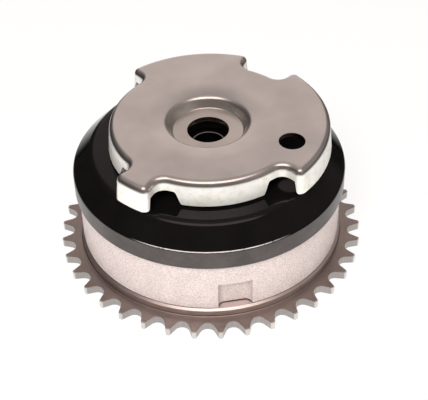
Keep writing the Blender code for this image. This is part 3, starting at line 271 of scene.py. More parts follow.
def slotted_arc(radius, angles, slot_angle, slot_bottom):
    """Points of one arc, with a seal slot at slot_angle when slot_bottom is given."""
    if slot_bottom is None:
        return round_points(radius, angles)
    reach = math.degrees((SEAL_SLOT_WIDTH / 2 + CLEARANCE) / radius)
    turn = Matrix.Rotation(math.radians(slot_angle), 2)
    half = SEAL_SLOT_WIDTH / 2
    corners = ((radius, -half), (slot_bottom, -half), (slot_bottom, half), (radius, half))
    slot = [turn @ Vector(corner) for corner in corners]
    points = round_points(radius, [a for a in angles if a < slot_angle - reach])
    points += [(point, polar(1.0, slot_angle)) for point in slot]
    return points + round_points(radius, [a for a in angles if a > slot_angle + reach])


def stepped_outline(low, high, sectors, low_fillet, high_fillet, low_marks=(), low_slot=None):
    """Points with outward normals: radius high over each sector and radius low between the sectors."""
    points = []
    trim_high = math.degrees(high_fillet / high)
    trim_low = math.degrees(low_fillet / low)
    for index, (start, end) in enumerate(sectors):
        follows = sectors[(index + 1) % len(sectors)][0]
        follows += 360 if follows < end else 0
        points += round_points(high, arc_angles(start + trim_high, end - trim_high, OUTLINE_STEP))
        points += rounded_corner(polar(high, end - trim_high), polar(high, end),
                                 polar(high - high_fillet, end), 1)[1:]
        points += rounded_corner(polar(low + low_fillet, end), polar(low, end),
                                 polar(low, end + trim_low), -1)
        marks = [math.degrees(mark / low) for mark in low_marks]
        marks = [end + mark for mark in marks] + [follows - mark for mark in marks]
        angles = arc_angles(end + trim_low, follows - trim_low, OUTLINE_STEP, marks)
        points += slotted_arc(low, angles, (end + follows) / 2, low_slot)[1:-1]
        points += rounded_corner(polar(low, follows - trim_low), polar(low, follows),
                                 polar(low + low_fillet, follows), -1)
        points += rounded_corner(polar(high - high_fillet, follows), polar(high, follows),
                                 polar(high, follows + trim_high), 1)[:-1]
    return points


def inset_outline(points, distance):
    """The outline of an anticlockwise shape moved inwards, with true corners."""
    moved = []
    for i, point in enumerate(points):
        ahead = (points[(i + 1) % len(points)] - point).normalized()
        behind = (point - points[i - 1]).normalized()
        along = (ahead + behind).normalized()
        outward = Vector((along.y, -along.x))
        square = Vector((ahead.y, -ahead.x))
        moved.append(point - outward * distance / max(0.5, outward.dot(square)))
    return moved


# Making pieces

class Skin:
    """A closed surface made of rings of points, walls between them and filled faces."""

    def __init__(self):
        self.shape = bmesh.new()

    def ring(self, points, height):
        """Vertices along a flat outline at a height."""
        return [self.shape.verts.new((point.x, point.y, height)) for point in points]

    def walls(self, rings):
        """Quads between each ring and the next; all have as many points."""
        for lower, upper in zip(rings, rings[1:]):
            for i in range(len(lower)):
                j = (i + 1) % len(lower)
                self.shape.faces.new((lower[i], lower[j], upper[j], upper[i]))

    def lathe(self, profile, steps=ROUND_STEPS, centre=(0.0, 0.0)):
        """Rings round an axis along Z, one for each (radius, height), with walls between them."""
        rings = [self.ring(circle(radius, steps, centre), height) for radius, height in profile]
        self.walls(rings)
        return rings

    def fill(self, *rings):
        """Triangles in the flat face that the rings enclose."""
        edges = []
        for ring in rings:
            for i, vert in enumerate(ring):
                pair = (vert, ring[(i + 1) % len(ring)])
                edges.append(self.shape.edges.get(pair) or self.shape.edges.new(pair))
        bmesh.ops.triangle_fill(self.shape, use_beauty=True, edges=edges, normal=(0, 0, 1))

    def object(self, name):
        """The finished surface as an object, its faces turned outwards."""
        bmesh.ops.recalc_face_normals(self.shape, faces=self.shape.faces)
        mesh = bpy.data.meshes.new(name)
        self.shape.to_mesh(mesh)
        self.shape.free()
        return link_object(name, mesh)


def link_object(name, mesh):
    """An object in the scene."""
    item = bpy.data.objects.new(name, mesh)
    bpy.context.scene.collection.objects.link(item)
    return item


def apply_modifiers(item):
    """Replace the object's mesh by what its modifiers make of it."""
    bpy.context.view_layer.update()
    mesh = bpy.data.meshes.new_from_object(item.evaluated_get(bpy.context.evaluated_depsgraph_get()))
    item.modifiers.clear()
    item.data = mesh


def soften_edges(item, width, angle=SMALL_EDGE_ANGLE, segments=2):
    """Round the sharp edges of a piece."""
    edge = item.modifiers.new("edge", "BEVEL")
    edge.width = width
    edge.segments = segments
    edge.limit_method = "ANGLE"
    edge.angle_limit = math.radians(angle)
    edge.miter_outer = "MITER_ARC"
    apply_modifiers(item)


def shade(item):
    """Smooth shading in which large flat faces stay flat."""
    item.data.shade_smooth()
    item.data.set_sharp_from_angle(angle=math.radians(SMOOTH_ANGLE))
    normals = item.modifiers.new("normals", "WEIGHTED_NORMAL")
    normals.keep_sharp = True


def finish_piece(item, node, material):
    """Dress a piece in its material and let it stand for a node of the frame."""
    item.data.materials.clear()
    item.data.materials.append(material)
    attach(item, frame["nodes"][node]["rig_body"])
    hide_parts(node)
    shade(item)


def smooth_copy(node, material):
    """A copy of a node with its round faces smooth and its edges broken."""
    shape = bmesh.new()
    shape.from_mesh(frame["nodes"][node].data)
    bmesh.ops.remove_doubles(shape, verts=shape.verts, dist=MERGE_DISTANCE)
    bmesh.ops.dissolve_limit(shape, angle_limit=math.radians(FLAT_ANGLE), verts=shape.verts,
                             edges=shape.edges)
    mesh = bpy.data.meshes.new(node + "_fine")
    shape.to_mesh(mesh)
    shape.free()
    item = link_object(node + "_fine", mesh)
    soften_edges(item, SMALL_EDGE)
    finish_piece(item, node, material)
    return item


# Materials

Zone = namedtuple("Zone", "mask color roughness metallic")


def add_node(tree, kind, inputs=None, **settings):
    """A shader node; inputs maps a socket's name or number to a value or to another node's socket."""
    item = tree.nodes.new(kind)
    for key, value in settings.items():
        setattr(item, key, value)
    for key, value in (inputs or {}).items():
        if isinstance(value, bpy.types.NodeSocket):
            tree.links.new(value, item.inputs[key])
        else:
            item.inputs[key].default_value = value
    return item


def noise(tree, coords, size, detail=3.0, roughness=0.55):
    """Noise whose features are about size metres wide."""
    made = add_node(tree, "ShaderNodeTexNoise", {"Vector": coords, "Scale": 1 / size, "Detail": detail,
                                                 "Roughness": roughness})
    return made.outputs[0]


def ramp(tree, value, stops):
    """Colours by a value, from (position, colour) pairs."""
    made = add_node(tree, "ShaderNodeValToRGB", {0: value})
    elements = made.color_ramp.elements
    while len(elements) < len(stops):
        elements.new(0.5)
    for element, (position, color) in zip(elements, stops):
        element.position = position
        element.color = (*color, 1.0)
    return made.outputs["Color"]


def multiply(tree, first, second):
    """Product of two colours."""
    made = add_node(tree, "ShaderNodeMix", {0: 1.0, 6: first, 7: second}, data_type="RGBA",
                    blend_type="MULTIPLY")
    return made.outputs[2]


def spread(tree, value, low, high):
    """A value between 0 and 1 spread over low to high."""
    made = add_node(tree, "ShaderNodeMapRange", {"Value": value, "To Min": low, "To Max": high})
    return made.outputs[0]


def smooth_step(tree, value, start, end):
    """0 where a value is at start, 1 where it is at end, eased between; start may be the higher."""
    made = add_node(tree, "ShaderNodeMapRange", {"Value": value, "From Min": start, "From Max": end},
                    interpolation_type="SMOOTHSTEP")
    return made.outputs[0]


def grey(level):
    """A neutral colour."""
    return (level, level, level)


def blend_colors(tree, factor, first, second):
    """Colour between two, by a factor."""
    return add_node(tree, "ShaderNodeMix", {0: factor, 6: first, 7: second}, data_type="RGBA").outputs[2]


def blend_values(tree, factor, first, second):
    """Value between two, by a factor."""
    return add_node(tree, "ShaderNodeMix", {0: factor, 2: first, 3: second}).outputs[0]


def product(tree, first, second):
    """Product of two values."""
    return add_node(tree, "ShaderNodeMath", {0: first, 1: second}, operation="MULTIPLY").outputs[0]


def higher(tree, first, second):
    """The higher of two values."""
    return add_node(tree, "ShaderNodeMath", {0: first, 1: second}, operation="MAXIMUM").outputs[0]


def between(tree, value, low, high, soft):
    """1 where a value lies between low and high, falling to 0 within soft outside them."""
    rise = smooth_step(tree, value, low - soft, low)
    return product(tree, rise, smooth_step(tree, value, high + soft, high))


def axis_distance(tree, coords):
    """Distance from the Z axis."""
    flat = add_node(tree, "ShaderNodeVectorMath", {0: coords, 1: (1.0, 1.0, 0.0)}, operation="MULTIPLY")
    return add_node(tree, "ShaderNodeVectorMath", {0: flat.outputs[0]}, operation="LENGTH").outputs["Value"]


def height_of(tree, coords):
    """Height above the floor."""
    return add_node(tree, "ShaderNodeSeparateXYZ", {0: coords}).outputs["Z"]


def radius_zone(low, high, soft=0.0002):
    """Part of a surface between two distances from the axis."""
    return lambda tree, coords: between(tree, axis_distance(tree, coords), low, high, soft)


def height_zone(low, high, soft=0.0001):
    """Part of a surface between two heights."""
    return lambda tree, coords: between(tree, height_of(tree, coords), low, high, soft)


def hole_zone(centre, radius, soft=0.0001):
    """Part of a surface within a radius round an axis along Z through a flat centre."""
    def mask(tree, coords):
        offset = add_node(tree, "ShaderNodeVectorMath", {0: coords, 1: (*centre, 0.0)},
                          operation="SUBTRACT")
        distance = axis_distance(tree, offset.outputs[0])
        return smooth_step(tree, distance, radius + 2 * soft, radius + soft)
    return mask


def upright_zone(level=0.7, upright=0.4):
    """Part of a surface that stands upright, by the size of its normal's Z."""
    def mask(tree, coords):
        normal = add_node(tree, "ShaderNodeNewGeometry").outputs["Normal"]
        upward = add_node(tree, "ShaderNodeSeparateXYZ", {0: normal}).outputs["Z"]
        steep = add_node(tree, "ShaderNodeMath", {0: upward}, operation="ABSOLUTE").outputs[0]
        return smooth_step(tree, steep, level, upright)
    return mask


def patches(tree, coords, size, share, soft, detail, roughness=0.55):
    """1 in patches about size metres wide that cover about a share of the surface, 0 between them."""
    value = noise(tree, coords, size, detail, roughness)
    return smooth_step(tree, value, 1 - share - soft, 1 - share + soft)


def cloud_zone(size, share):
    """Cloudy patches."""
    return lambda tree, coords: patches(tree, coords, size, share, soft=0.15, detail=5.0, roughness=0.6)


def speck_zone(size, share):
    """Small scattered specks."""
    return lambda tree, coords: patches(tree, coords, size, share, soft=0.03, detail=1.0)


def overlap(*masks):
    """Part of a surface that lies in every one of the given parts."""
    def mask(tree, coords):
        share = masks[0](tree, coords)
        for other in masks[1:]:
            share = product(tree, share, other(tree, coords))
        return share
    return mask


def front_highlight_zone(height, width, front, size, share):
    """A painted highlight: a thin line along the front at a height, broken into patches."""
    def mask(tree, coords):
        half = width / 2
        line = between(tree, height_of(tree, coords), height - half, height + half, half)
        forward = add_node(tree, "ShaderNodeSeparateXYZ", {0: coords}).outputs["Y"]
        line = product(tree, line, smooth_step(tree, forward, *front))
        return product(tree, line, patches(tree, coords, size, share, soft=0.1, detail=2.0))
    return mask


def vary(strength):
    """Stops that darken and lighten a colour by a strength over the range of a noise."""
    return [(NOISE_RANGE[0], grey(1 - strength)), (NOISE_RANGE[1], grey(1 + strength))]


def new_material(name, color, roughness, metallic, mottle=(0.012, 0.06), grain=(0.0004, 0.05),
                 bump=0.00001, rings=0.0, anisotropic=0.0, specular=0.5, crevice_shade=0.5, zones=()):
    """Metal or coat with slow mottling and fine grain, each as (size, strength of colour change).

    roughness is (low, high). bump is the grain's height in metres. rings is the strength of fine
    turning marks round the Z axis. crevice_shade is how much painted shade darkens crevices. Each Zone is
    laid over the rest where its mask is 1.
    """
    material = bpy.data.materials.new(name)
    material.use_nodes = True
    tree = material.node_tree
    shader = tree.nodes["Principled BSDF"]
    coords = add_node(tree, "ShaderNodeTexCoord").outputs["Object"]
    slow = noise(tree, coords, mottle[0])
    fine = noise(tree, coords, grain[0], detail=4.0, roughness=0.65)
    rough = spread(tree, slow, roughness[0], roughness[1])
    metal = metallic
    shade_color = (*color, 1.0)
    for zone in zones:
        share = zone.mask(tree, coords)
        shade_color = blend_colors(tree, share, shade_color, (*zone.color, 1.0))
        rough = blend_values(tree, share, rough, zone.roughness)
        if zone.metallic != metallic:
            metal = blend_values(tree, share, metal, zone.metallic)
    slow_color = ramp(tree, slow, vary(mottle[1]))
    fine_color = ramp(tree, fine, vary(grain[1]))
    shade_color = multiply(tree, multiply(tree, slow_color, shade_color), fine_color)
    # Painted shade: ambient occlusion darkens the base colour in crevices, creases and joints.
    openness = add_node(tree, "ShaderNodeAmbientOcclusion", {"Distance": CREVICE_SHADE_REACH}, samples=CREVICE_SHADE_SAMPLES)
    crevice_shade_stops = [(CREVICE_SHADE_RANGE[0], grey(1 - crevice_shade)), (CREVICE_SHADE_RANGE[1], grey(1.0))]
    shade_color = multiply(tree, shade_color, ramp(tree, openness.outputs["AO"], crevice_shade_stops))
    height = fine
    if rings:
        marks = add_node(tree, "ShaderNodeTexNoise",
                         {"W": axis_distance(tree, coords), "Scale": 1 / TURNING_MARK, "Detail": 2.0},
                         noise_dimensions="1D").outputs[0]
        shade_color = multiply(tree, shade_color, ramp(tree, marks, vary(rings)))
        height = add_node(tree, "ShaderNodeMath", {0: fine, 1: marks}, operation="ADD").outputs[0]
    bumps = add_node(tree, "ShaderNodeBump", {"Height": height, "Distance": bump, "Strength": 1.0})
    tree.links.new(shade_color, shader.inputs["Base Color"])
    tree.links.new(rough, shader.inputs["Roughness"])
    tree.links.new(bumps.outputs[0], shader.inputs["Normal"])
    if metal == metallic:
        shader.inputs["Metallic"].default_value = metallic
    else:
        tree.links.new(metal, shader.inputs["Metallic"])
    shader.inputs["Specular IOR Level"].default_value = specular
    if anisotropic:
        shader.inputs["Anisotropic"].default_value = anisotropic
        tangent = add_node(tree, "ShaderNodeTangent", direction_type="RADIAL", axis="Z")
        tree.links.new(tangent.outputs[0], shader.inputs["Tangent"])
    return material


def make_wheel_steel():
    """Sheet steel with faint specks: bent edge painted lighter as lit and blotched with stains, painted
    shade on the wall in the hole, warmer seat.
    """
    skirt = overlap(radius_zone(*WHEEL_SKIRT_RADII), height_zone(0.0, WHEEL_SKIRT_TOP, soft=0.0006))
    hole_centre = polar(WHEEL_HOLE_CIRCLE, WHEEL_HOLE_ANGLE)
    shaded_hole_wall = overlap(hole_zone(hole_centre, WHEEL_HOLE_RADIUS), upright_zone())
    return new_material("wheel_steel", (0.72, 0.71, 0.69), (0.25, 0.33), 1.0,
                        mottle=(0.016, 0.11), grain=(0.0003, 0.03), bump=0.000001, zones=[
        Zone(speck_zone(0.0008, 0.22), (0.79, 0.78, 0.76), 0.36, 1.0),
        # Painted light: the bent edge is coloured paler than the same sheet on top, for the light it
        # catches.
        Zone(skirt, (0.93, 0.92, 0.88), 0.30, 0.4),
        Zone(overlap(skirt, cloud_zone(0.0022, 0.42)), (0.80, 0.80, 0.68), 0.40, 0.4),
        # Painted shade on the wall inside the round hole.
        Zone(shaded_hole_wall, (0.12, 0.11, 0.10), 0.4, 1.0),
        Zone(radius_zone(0.0, WHEEL_SEAT_TINT_RADIUS), (0.70, 0.68, 0.645), 0.28, 1.0)])


def make_black_coat():
    """Glossy black coat, duller and painted lighter on the band, with a painted highlight line broken into
    patches along the front of the bend above it.
    """
    highlight_line = front_highlight_zone(COVER_HIGHLIGHT_HEIGHT, COVER_HIGHLIGHT_WIDTH, COVER_HIGHLIGHT_FRONT, size=0.0012, share=0.66)
    return new_material("black_coat", (0.0035, 0.0033, 0.0032), (0.06, 0.12), 0.0,
                        mottle=(0.008, 0.2), grain=(0.0012, 0.1), bump=0.000002, specular=0.22, zones=[
        # Painted light: the band's coat is coloured lighter than the cone's, for the floor that it mirrors.
        Zone(height_zone(0.0, COVER_BAND_TOP), (0.075, 0.066, 0.063), 0.3, 0.0),
        # Painted highlight along the front of the bend above the band.
        Zone(highlight_line, (0.80, 0.75, 0.74), 0.35, 0.3)])


def make_machined_steel():
    """Turned steel with greyer tooth flanks, and painted highlights on the tooth lands and the shoulder's
    edge.
    """
    return new_material("machined_steel", (0.385, 0.335, 0.315), (0.34, 0.44), 1.0,
                        mottle=(0.009, 0.08), grain=(0.0003, 0.06), bump=0.000004,
                        rings=0.08, anisotropic=0.5, zones=[
        Zone(upright_zone(), (0.41, 0.38, 0.365), 0.4, 1.0),
        # Painted highlight on the tooth lands.
        Zone(radius_zone(*TOOTH_HIGHLIGHT_RADII), (0.66, 0.64, 0.61), 0.3, 1.0),
        # Painted highlight on the shoulder's bevelled top edge.
        Zone(height_zone(*SHOULDER_HIGHLIGHT_HEIGHTS), (0.80, 0.72, 0.70), 0.3, 1.0)])


def make_materials():
    """One material for each slot of the record."""
    # Partly oil, partly painted shade: the bore round the axis is coloured near black.
    oil_and_shade_bore = Zone(radius_zone(0.0, OIL_AND_SHADE_RADIUS), (0.05, 0.045, 0.04), 0.4, 1.0)
    # A lighter ring within the bore's painted shade: painted highlight on the bore's edge, partly edge wear.
    highlight_and_wear_edge = Zone(radius_zone(*BORE_EDGE_RADII, soft=0.0001), (0.24, 0.23, 0.22), 0.35, 0.4)
    dark_specks = Zone(speck_zone(0.0005, 0.30), (0.52, 0.44, 0.44), 0.5, 0.4)
    return {
        "wheel_steel": make_wheel_steel(),
        "black_coat": make_black_coat(),
        "machined_steel": make_machined_steel(),
        "sintered_steel": new_material("sintered_steel", (0.74, 0.645, 0.62), (0.42, 0.50), 0.4,
                                       mottle=(0.006, 0.05), grain=(0.00045, 0.28), bump=0.00004,
                                       crevice_shade=0.3, zones=[dark_specks]),
        "plate_steel": new_material("plate_steel", (0.50, 0.49, 0.48), (0.25, 0.35), 1.0, rings=0.04,
                                    zones=[oil_and_shade_bore]),
        "rotor_steel": new_material("rotor_steel", (0.45, 0.44, 0.43), (0.30, 0.42), 1.0,
                                    grain=(0.0003, 0.12), zones=[oil_and_shade_bore, highlight_and_wear_edge]),
        "hard_steel": new_material("hard_steel", (0.55, 0.55, 0.56), (0.15, 0.22), 1.0, bump=0.000002),
        "spring_steel": new_material("spring_steel", (0.30, 0.29, 0.30), (0.22, 0.32), 1.0, bump=0.000003),
        "screw_steel": new_material("screw_steel", (0.16, 0.16, 0.17), (0.30, 0.42), 1.0, bump=0.000004),
        "seal_polymer": new_material("seal_polymer", (0.09, 0.07, 0.05), (0.45, 0.6), 0.0),
    }


# Sprocket

def tooth_outline():
    """The sprocket's toothed outline, anticlockwise."""
    pitch_radius = CHAIN_PITCH / (2 * math.sin(math.pi / TOOTH_COUNT))
    tip_radius = CHAIN_PITCH * (TOOTH_TIP_TERM + 1 / math.tan(math.pi / TOOTH_COUNT)) / 2
    root_radius = pitch_radius - TOOTH_ROOT_DROP
    seat_centre = root_radius + CHAIN_ROLLER_RADIUS
    half_pitch = math.pi / TOOTH_COUNT
    half_gap = tip_radius * half_pitch - TOOTH_TIP_WIDTH / 2
    seat = []
    for i in range(SEAT_PARTS + 1):
        angle = math.radians(TOOTH_FLANK_ANGLE * (2 * i / SEAT_PARTS - 1))
        seat.append(Vector((seat_centre - CHAIN_ROLLER_RADIUS * math.cos(angle),
                            CHAIN_ROLLER_RADIUS * math.sin(angle))))
    tip = Vector((tip_radius * math.cos(half_pitch), half_gap))
    gap = [Vector((tip.x, -tip.y))] + seat + [tip]
    points = []
    for i in range(TOOTH_COUNT):
        turn = Matrix.Rotation(math.radians(FIRST_TOOTH_ANGLE) + 2 * half_pitch * (i + 0.5), 2)
        points += [turn @ point for point in gap]
    return points, root_radius


def screw_places():
    """Flat place of each housing screw."""
    places = []
    for number in range(1, LOBE_COUNT + 1):
        low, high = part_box("housing_screw_%d" % number)
        places.append(((low + high) / 2).xy)
    return places


def dowel_places():
    """Flat place of each stator dowel."""
    boxes = [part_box("stator_dowel_%d" % number) for number in (1, 2)]
    return [((low + high) / 2).xy for low, high in boxes]


def make_sprocket(material):
    """Toothed flange, bevelled shoulder, bore, screw holes, dowel holes and the lock pin's pocket."""
    skin = Skin()
    outline, root_radius = tooth_outline()
    shoulder = root_radius - SPROCKET_RIM
    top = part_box("sprocket")[1].z
    fillet = SHOULDER_FILLET
    inner = inset_outline(outline, TOOTH_EDGE)
    tooth = [skin.ring(inner, 0.0), skin.ring(outline, TOOTH_EDGE),
             skin.ring(outline, FLANGE_THICKNESS - TOOTH_EDGE), skin.ring(inner, FLANGE_THICKNESS)]
    skin.walls(tooth)
    profile = bend(shoulder + fillet, FLANGE_THICKNESS + fillet, fillet, 270, 180)
    profile += [(shoulder, top - SHOULDER_BEVEL_DROP), (shoulder - SHOULDER_BEVEL_WIDTH, top)]
    rim = skin.lathe(profile)
    skin.fill(tooth[-1], rim[0])
    bore = skin.lathe([(CAM_JOURNAL_RADIUS + DRUM_EDGE, top), (CAM_JOURNAL_RADIUS, top - DRUM_EDGE),
                       (CAM_JOURNAL_RADIUS, DRUM_EDGE), (CAM_JOURNAL_RADIUS + DRUM_EDGE, 0.0)])
    upper = [rim[-1], bore[0]]
    lower = [tooth[0], bore[-1]]
    for place in screw_places():
        hole = skin.lathe([(SCREW_HOLE_RADIUS, top), (SCREW_HOLE_RADIUS, DRUM_EDGE),
                           (SCREW_HOLE_RADIUS + DRUM_EDGE, 0.0)], HOLE_STEPS, place)
        upper.append(hole[0])
        lower.append(hole[-1])
    dowel_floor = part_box("stator_dowel_1")[0].z - CLEARANCE
    for place in dowel_places():
        hole = skin.lathe([(DOWEL_HOLE_RADIUS, top), (DOWEL_HOLE_RADIUS, dowel_floor)], HOLE_STEPS, place)
        upper.append(hole[0])
        skin.fill(hole[-1])
    low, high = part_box("lock_seat_bush")
    seat_floor = low.z - CLEARANCE
    pocket = skin.lathe([(LOCK_BORE_RADIUS, top), (LOCK_BORE_RADIUS, seat_floor),
                         (LOCK_VENT_RADIUS, seat_floor), (LOCK_VENT_RADIUS, DRUM_EDGE),
                         (LOCK_VENT_RADIUS + DRUM_EDGE, 0.0)], HOLE_STEPS, ((low + high) / 2).xy)
    upper.append(pocket[0])
    lower.append(pocket[-1])
    skin.fill(*upper)
    skin.fill(*lower)
    finish_piece(skin.object("sprocket_fine"), "sprocket", material)


# Stator

def make_stator(material):
    """Drum with four inward lobes and the pocket at its foot."""
    low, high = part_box("stator_housing")
    radius = high.x
    chamber_radius = radius - DRUM_WALL
    lobe_tip = HUB_RADIUS + TIP_GAP
    lobes = [FIRST_LOBE_ANGLE + i * 360 / LOBE_COUNT for i in range(LOBE_COUNT)]
    half = (360 / LOBE_COUNT - LOBE_ANGLE) / 2
    cavities = [(a + 180 / LOBE_COUNT - half, a + 180 / LOBE_COUNT + half) for a in lobes]
    chamber = stepped_outline(lobe_tip, chamber_radius, cavities, LOBE_TIP_FILLET, LOBE_ROOT_FILLET,
                              low_slot=lobe_tip + SEAL_SLOT_DEPTH)
    chamber = [point for point, outward in chamber]
    skin = Skin()
    outer = skin.lathe([(radius, low.z), (radius, high.z)])
    inner = [skin.ring(chamber, low.z), skin.ring(chamber, high.z)]
    skin.walls(inner)
    lower, upper = [outer[0], inner[0]], [outer[1], inner[1]]
    for place in screw_places():
        hole = skin.lathe([(SCREW_HOLE_RADIUS, low.z), (SCREW_HOLE_RADIUS, high.z)], HOLE_STEPS, place)
        lower.append(hole[0])
        upper.append(hole[1])
    dowel_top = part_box("stator_dowel_1")[1].z + CLEARANCE
    for place in dowel_places():
        hole = skin.lathe([(DOWEL_HOLE_RADIUS, low.z), (DOWEL_HOLE_RADIUS, dowel_top)], HOLE_STEPS, place)
        lower.append(hole[0])
        skin.fill(hole[1])
    skin.fill(*lower)
    skin.fill(*upper)
    drum = skin.object("stator_housing_fine")
    cutter = pocket_cutter(radius, low.z)
    cut = drum.modifiers.new("pocket", "BOOLEAN")
    cut.object = cutter
    cut.operation = "DIFFERENCE"
    apply_modifiers(drum)
    bpy.data.objects.remove(cutter, do_unlink=True)
    soften_edges(drum, DRUM_EDGE, angle=DRUM_EDGE_ANGLE)
    finish_piece(drum, "stator_housing", material)


def pocket_cutter(radius, foot):
    """Block with rounded corners that cuts the pocket into a drum of this radius."""
    shape = bmesh.new()
    bmesh.ops.create_cube(shape, size=1)
    size = (POCKET_DEPTH + OVERCUT, POCKET_WIDTH, POCKET_HEIGHT + OVERCUT)
    bmesh.ops.scale(shape, vec=size, verts=shape.verts)
    inside = [e for e in shape.edges if all(v.co.x < 0 for v in e.verts)]
    rounded = [e for e in inside if not all(v.co.z < 0 for v in e.verts)]
    bmesh.ops.bevel(shape, geom=rounded, offset=POCKET_CORNER_RADIUS, segments=BEND_PARTS, profile=0.5,
                    affect="EDGES")
    middle = polar(radius - POCKET_DEPTH + size[0] / 2, POCKET_ANGLE)
    place = Matrix.Translation((*middle, foot + POCKET_HEIGHT - size[2] / 2))
    turn = Matrix.Rotation(math.radians(POCKET_ANGLE), 4, "Z")
    bmesh.ops.transform(shape, matrix=place @ turn, verts=shape.verts)
    mesh = bpy.data.meshes.new("pocket_cutter")
    shape.to_mesh(mesh)
    shape.free()
    return link_object("pocket_cutter", mesh)


# Front cover

def make_cover(material):
    """Pressed can: band, cone and flat top round the rotor's nose."""
    low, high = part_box("front_cover")
    radius = high.x
    band_top = low.z + COVER_BAND_HEIGHT
    top_radius = radius - COVER_CONE_RUN
    slope = math.atan2(high.z - band_top, COVER_CONE_RUN)
    normal = 90 - math.degrees(slope)
    top_trim = COVER_TOP_BEND_RADIUS * math.tan(slope / 2)
    band_trim = COVER_BAND_RADIUS * math.tan((math.pi / 2 - slope) / 2)
    profile = [(COVER_OPENING_RADIUS, high.z)]
    profile += bend(top_radius - top_trim, high.z - COVER_TOP_BEND_RADIUS, COVER_TOP_BEND_RADIUS, 90, normal)
    profile += bend(radius - COVER_BAND_RADIUS, band_top - band_trim, COVER_BAND_RADIUS, normal, 0)
    profile.append((radius, low.z))
    skin = Skin()
    skin.lathe(profile)
    cover = skin.object("front_cover_fine")
    if sum(face.normal.z for face in cover.data.polygons) < 0:
        cover.data.flip_normals()
    thicken(cover, COVER_SHEET)
    soften_edges(cover, SHEET_EDGE, angle=SHEET_EDGE_ANGLE)
    finish_piece(cover, "front_cover", material)


def thicken(item, thickness):
    """Give an open skin its sheet thickness, inwards."""
    sheet = item.modifiers.new("sheet", "SOLIDIFY")
    sheet.thickness = thickness
    sheet.offset = -1
    sheet.use_even_offset = True
    apply_modifiers(item)


# Trigger wheel

def skirt_depth(point, lobe_radius):
    """How far the wheel's edge hangs below its top face at a point of the outline."""
    up_corner = (point.length - lobe_radius + WHEEL_LOBE_CORNER) / (WHEEL_LOBE_CORNER / 2)
    angle = math.degrees(math.atan2(point.y, point.x))
    past_relief = 0.0
    for lobe, next_lobe in zip(WHEEL_LOBES, WHEEL_LOBES[1:] + WHEEL_LOBES[:1]):
        gap = (next_lobe[0] - lobe[1]) % 360
        turn = (angle - lobe[1]) % 360
        tab_width = math.radians(gap) * WHEEL_GAP_RADIUS - 2 * (WHEEL_RELIEF_ARC + WHEEL_RELIEF_RAMP)
        if turn < gap and tab_width > WHEEL_TAB_LEAST:
            from_lobe = math.radians(min(turn, gap - turn)) * WHEEL_GAP_RADIUS
            past_relief = (from_lobe - WHEEL_RELIEF_ARC) / WHEEL_RELIEF_RAMP
    share = min(1.0, max(0.0, up_corner, past_relief))
    eased = share * share * (3 - 2 * share)
    return WHEEL_RELIEF_DEPTH + eased * (WHEEL_SKIRT_DEPTH - WHEEL_RELIEF_DEPTH)


def dish_profile(wheel_top):
    """(radius, height) of the wheel's dished middle, from its bore out to the flat rim."""
    wall = math.radians(WHEEL_DISH_WALL_ANGLE)
    edge = math.radians(WHEEL_DISH_EDGE_ANGLE)
    fold_rise = WHEEL_DISH_FOLD_RADIUS * (1 - math.cos(wall))
    edge_rise = WHEEL_DISH_EDGE_RADIUS * (math.cos(edge) - math.cos(wall))
    slope_rise = WHEEL_DISH_SLOPE_RADIUS * (1 - math.cos(edge))
    wall_rise = WHEEL_DISH_DEPTH - fold_rise - edge_rise - slope_rise
    radius = WHEEL_SEAT_RADIUS
    height = wheel_top - WHEEL_DISH_DEPTH
    points = [(WHEEL_BORE_RADIUS, height)]
    points += bend(radius, height + WHEEL_DISH_FOLD_RADIUS, WHEEL_DISH_FOLD_RADIUS,
                   -90, WHEEL_DISH_WALL_ANGLE - 90)
    radius += WHEEL_DISH_FOLD_RADIUS * math.sin(wall) + wall_rise / math.tan(wall)
    height += fold_rise + wall_rise
    points += bend(radius + WHEEL_DISH_EDGE_RADIUS * math.sin(wall),
                   height - WHEEL_DISH_EDGE_RADIUS * math.cos(wall),
                   WHEEL_DISH_EDGE_RADIUS, 90 + WHEEL_DISH_WALL_ANGLE, 90 + WHEEL_DISH_EDGE_ANGLE)
    radius += WHEEL_DISH_EDGE_RADIUS * (math.sin(wall) - math.sin(edge))
    height += edge_rise
    return points + bend(radius + WHEEL_DISH_SLOPE_RADIUS * math.sin(edge),
                         height - WHEEL_DISH_SLOPE_RADIUS * math.cos(edge),
                         WHEEL_DISH_SLOPE_RADIUS, 90 + WHEEL_DISH_EDGE_ANGLE, 90)[1:]


def under_side(profile, thickness):
    """The lower face of a sheet whose upper face follows a profile from the middle outwards."""
    moved = []
    for i, (radius, height) in enumerate(profile):
        before = profile[max(0, i - 1)]
        after = profile[min(len(profile) - 1, i + 1)]
        along = (Vector(after) - Vector(before)).normalized()
        moved.append((radius + along.y * thickness, height - along.x * thickness))
    return moved


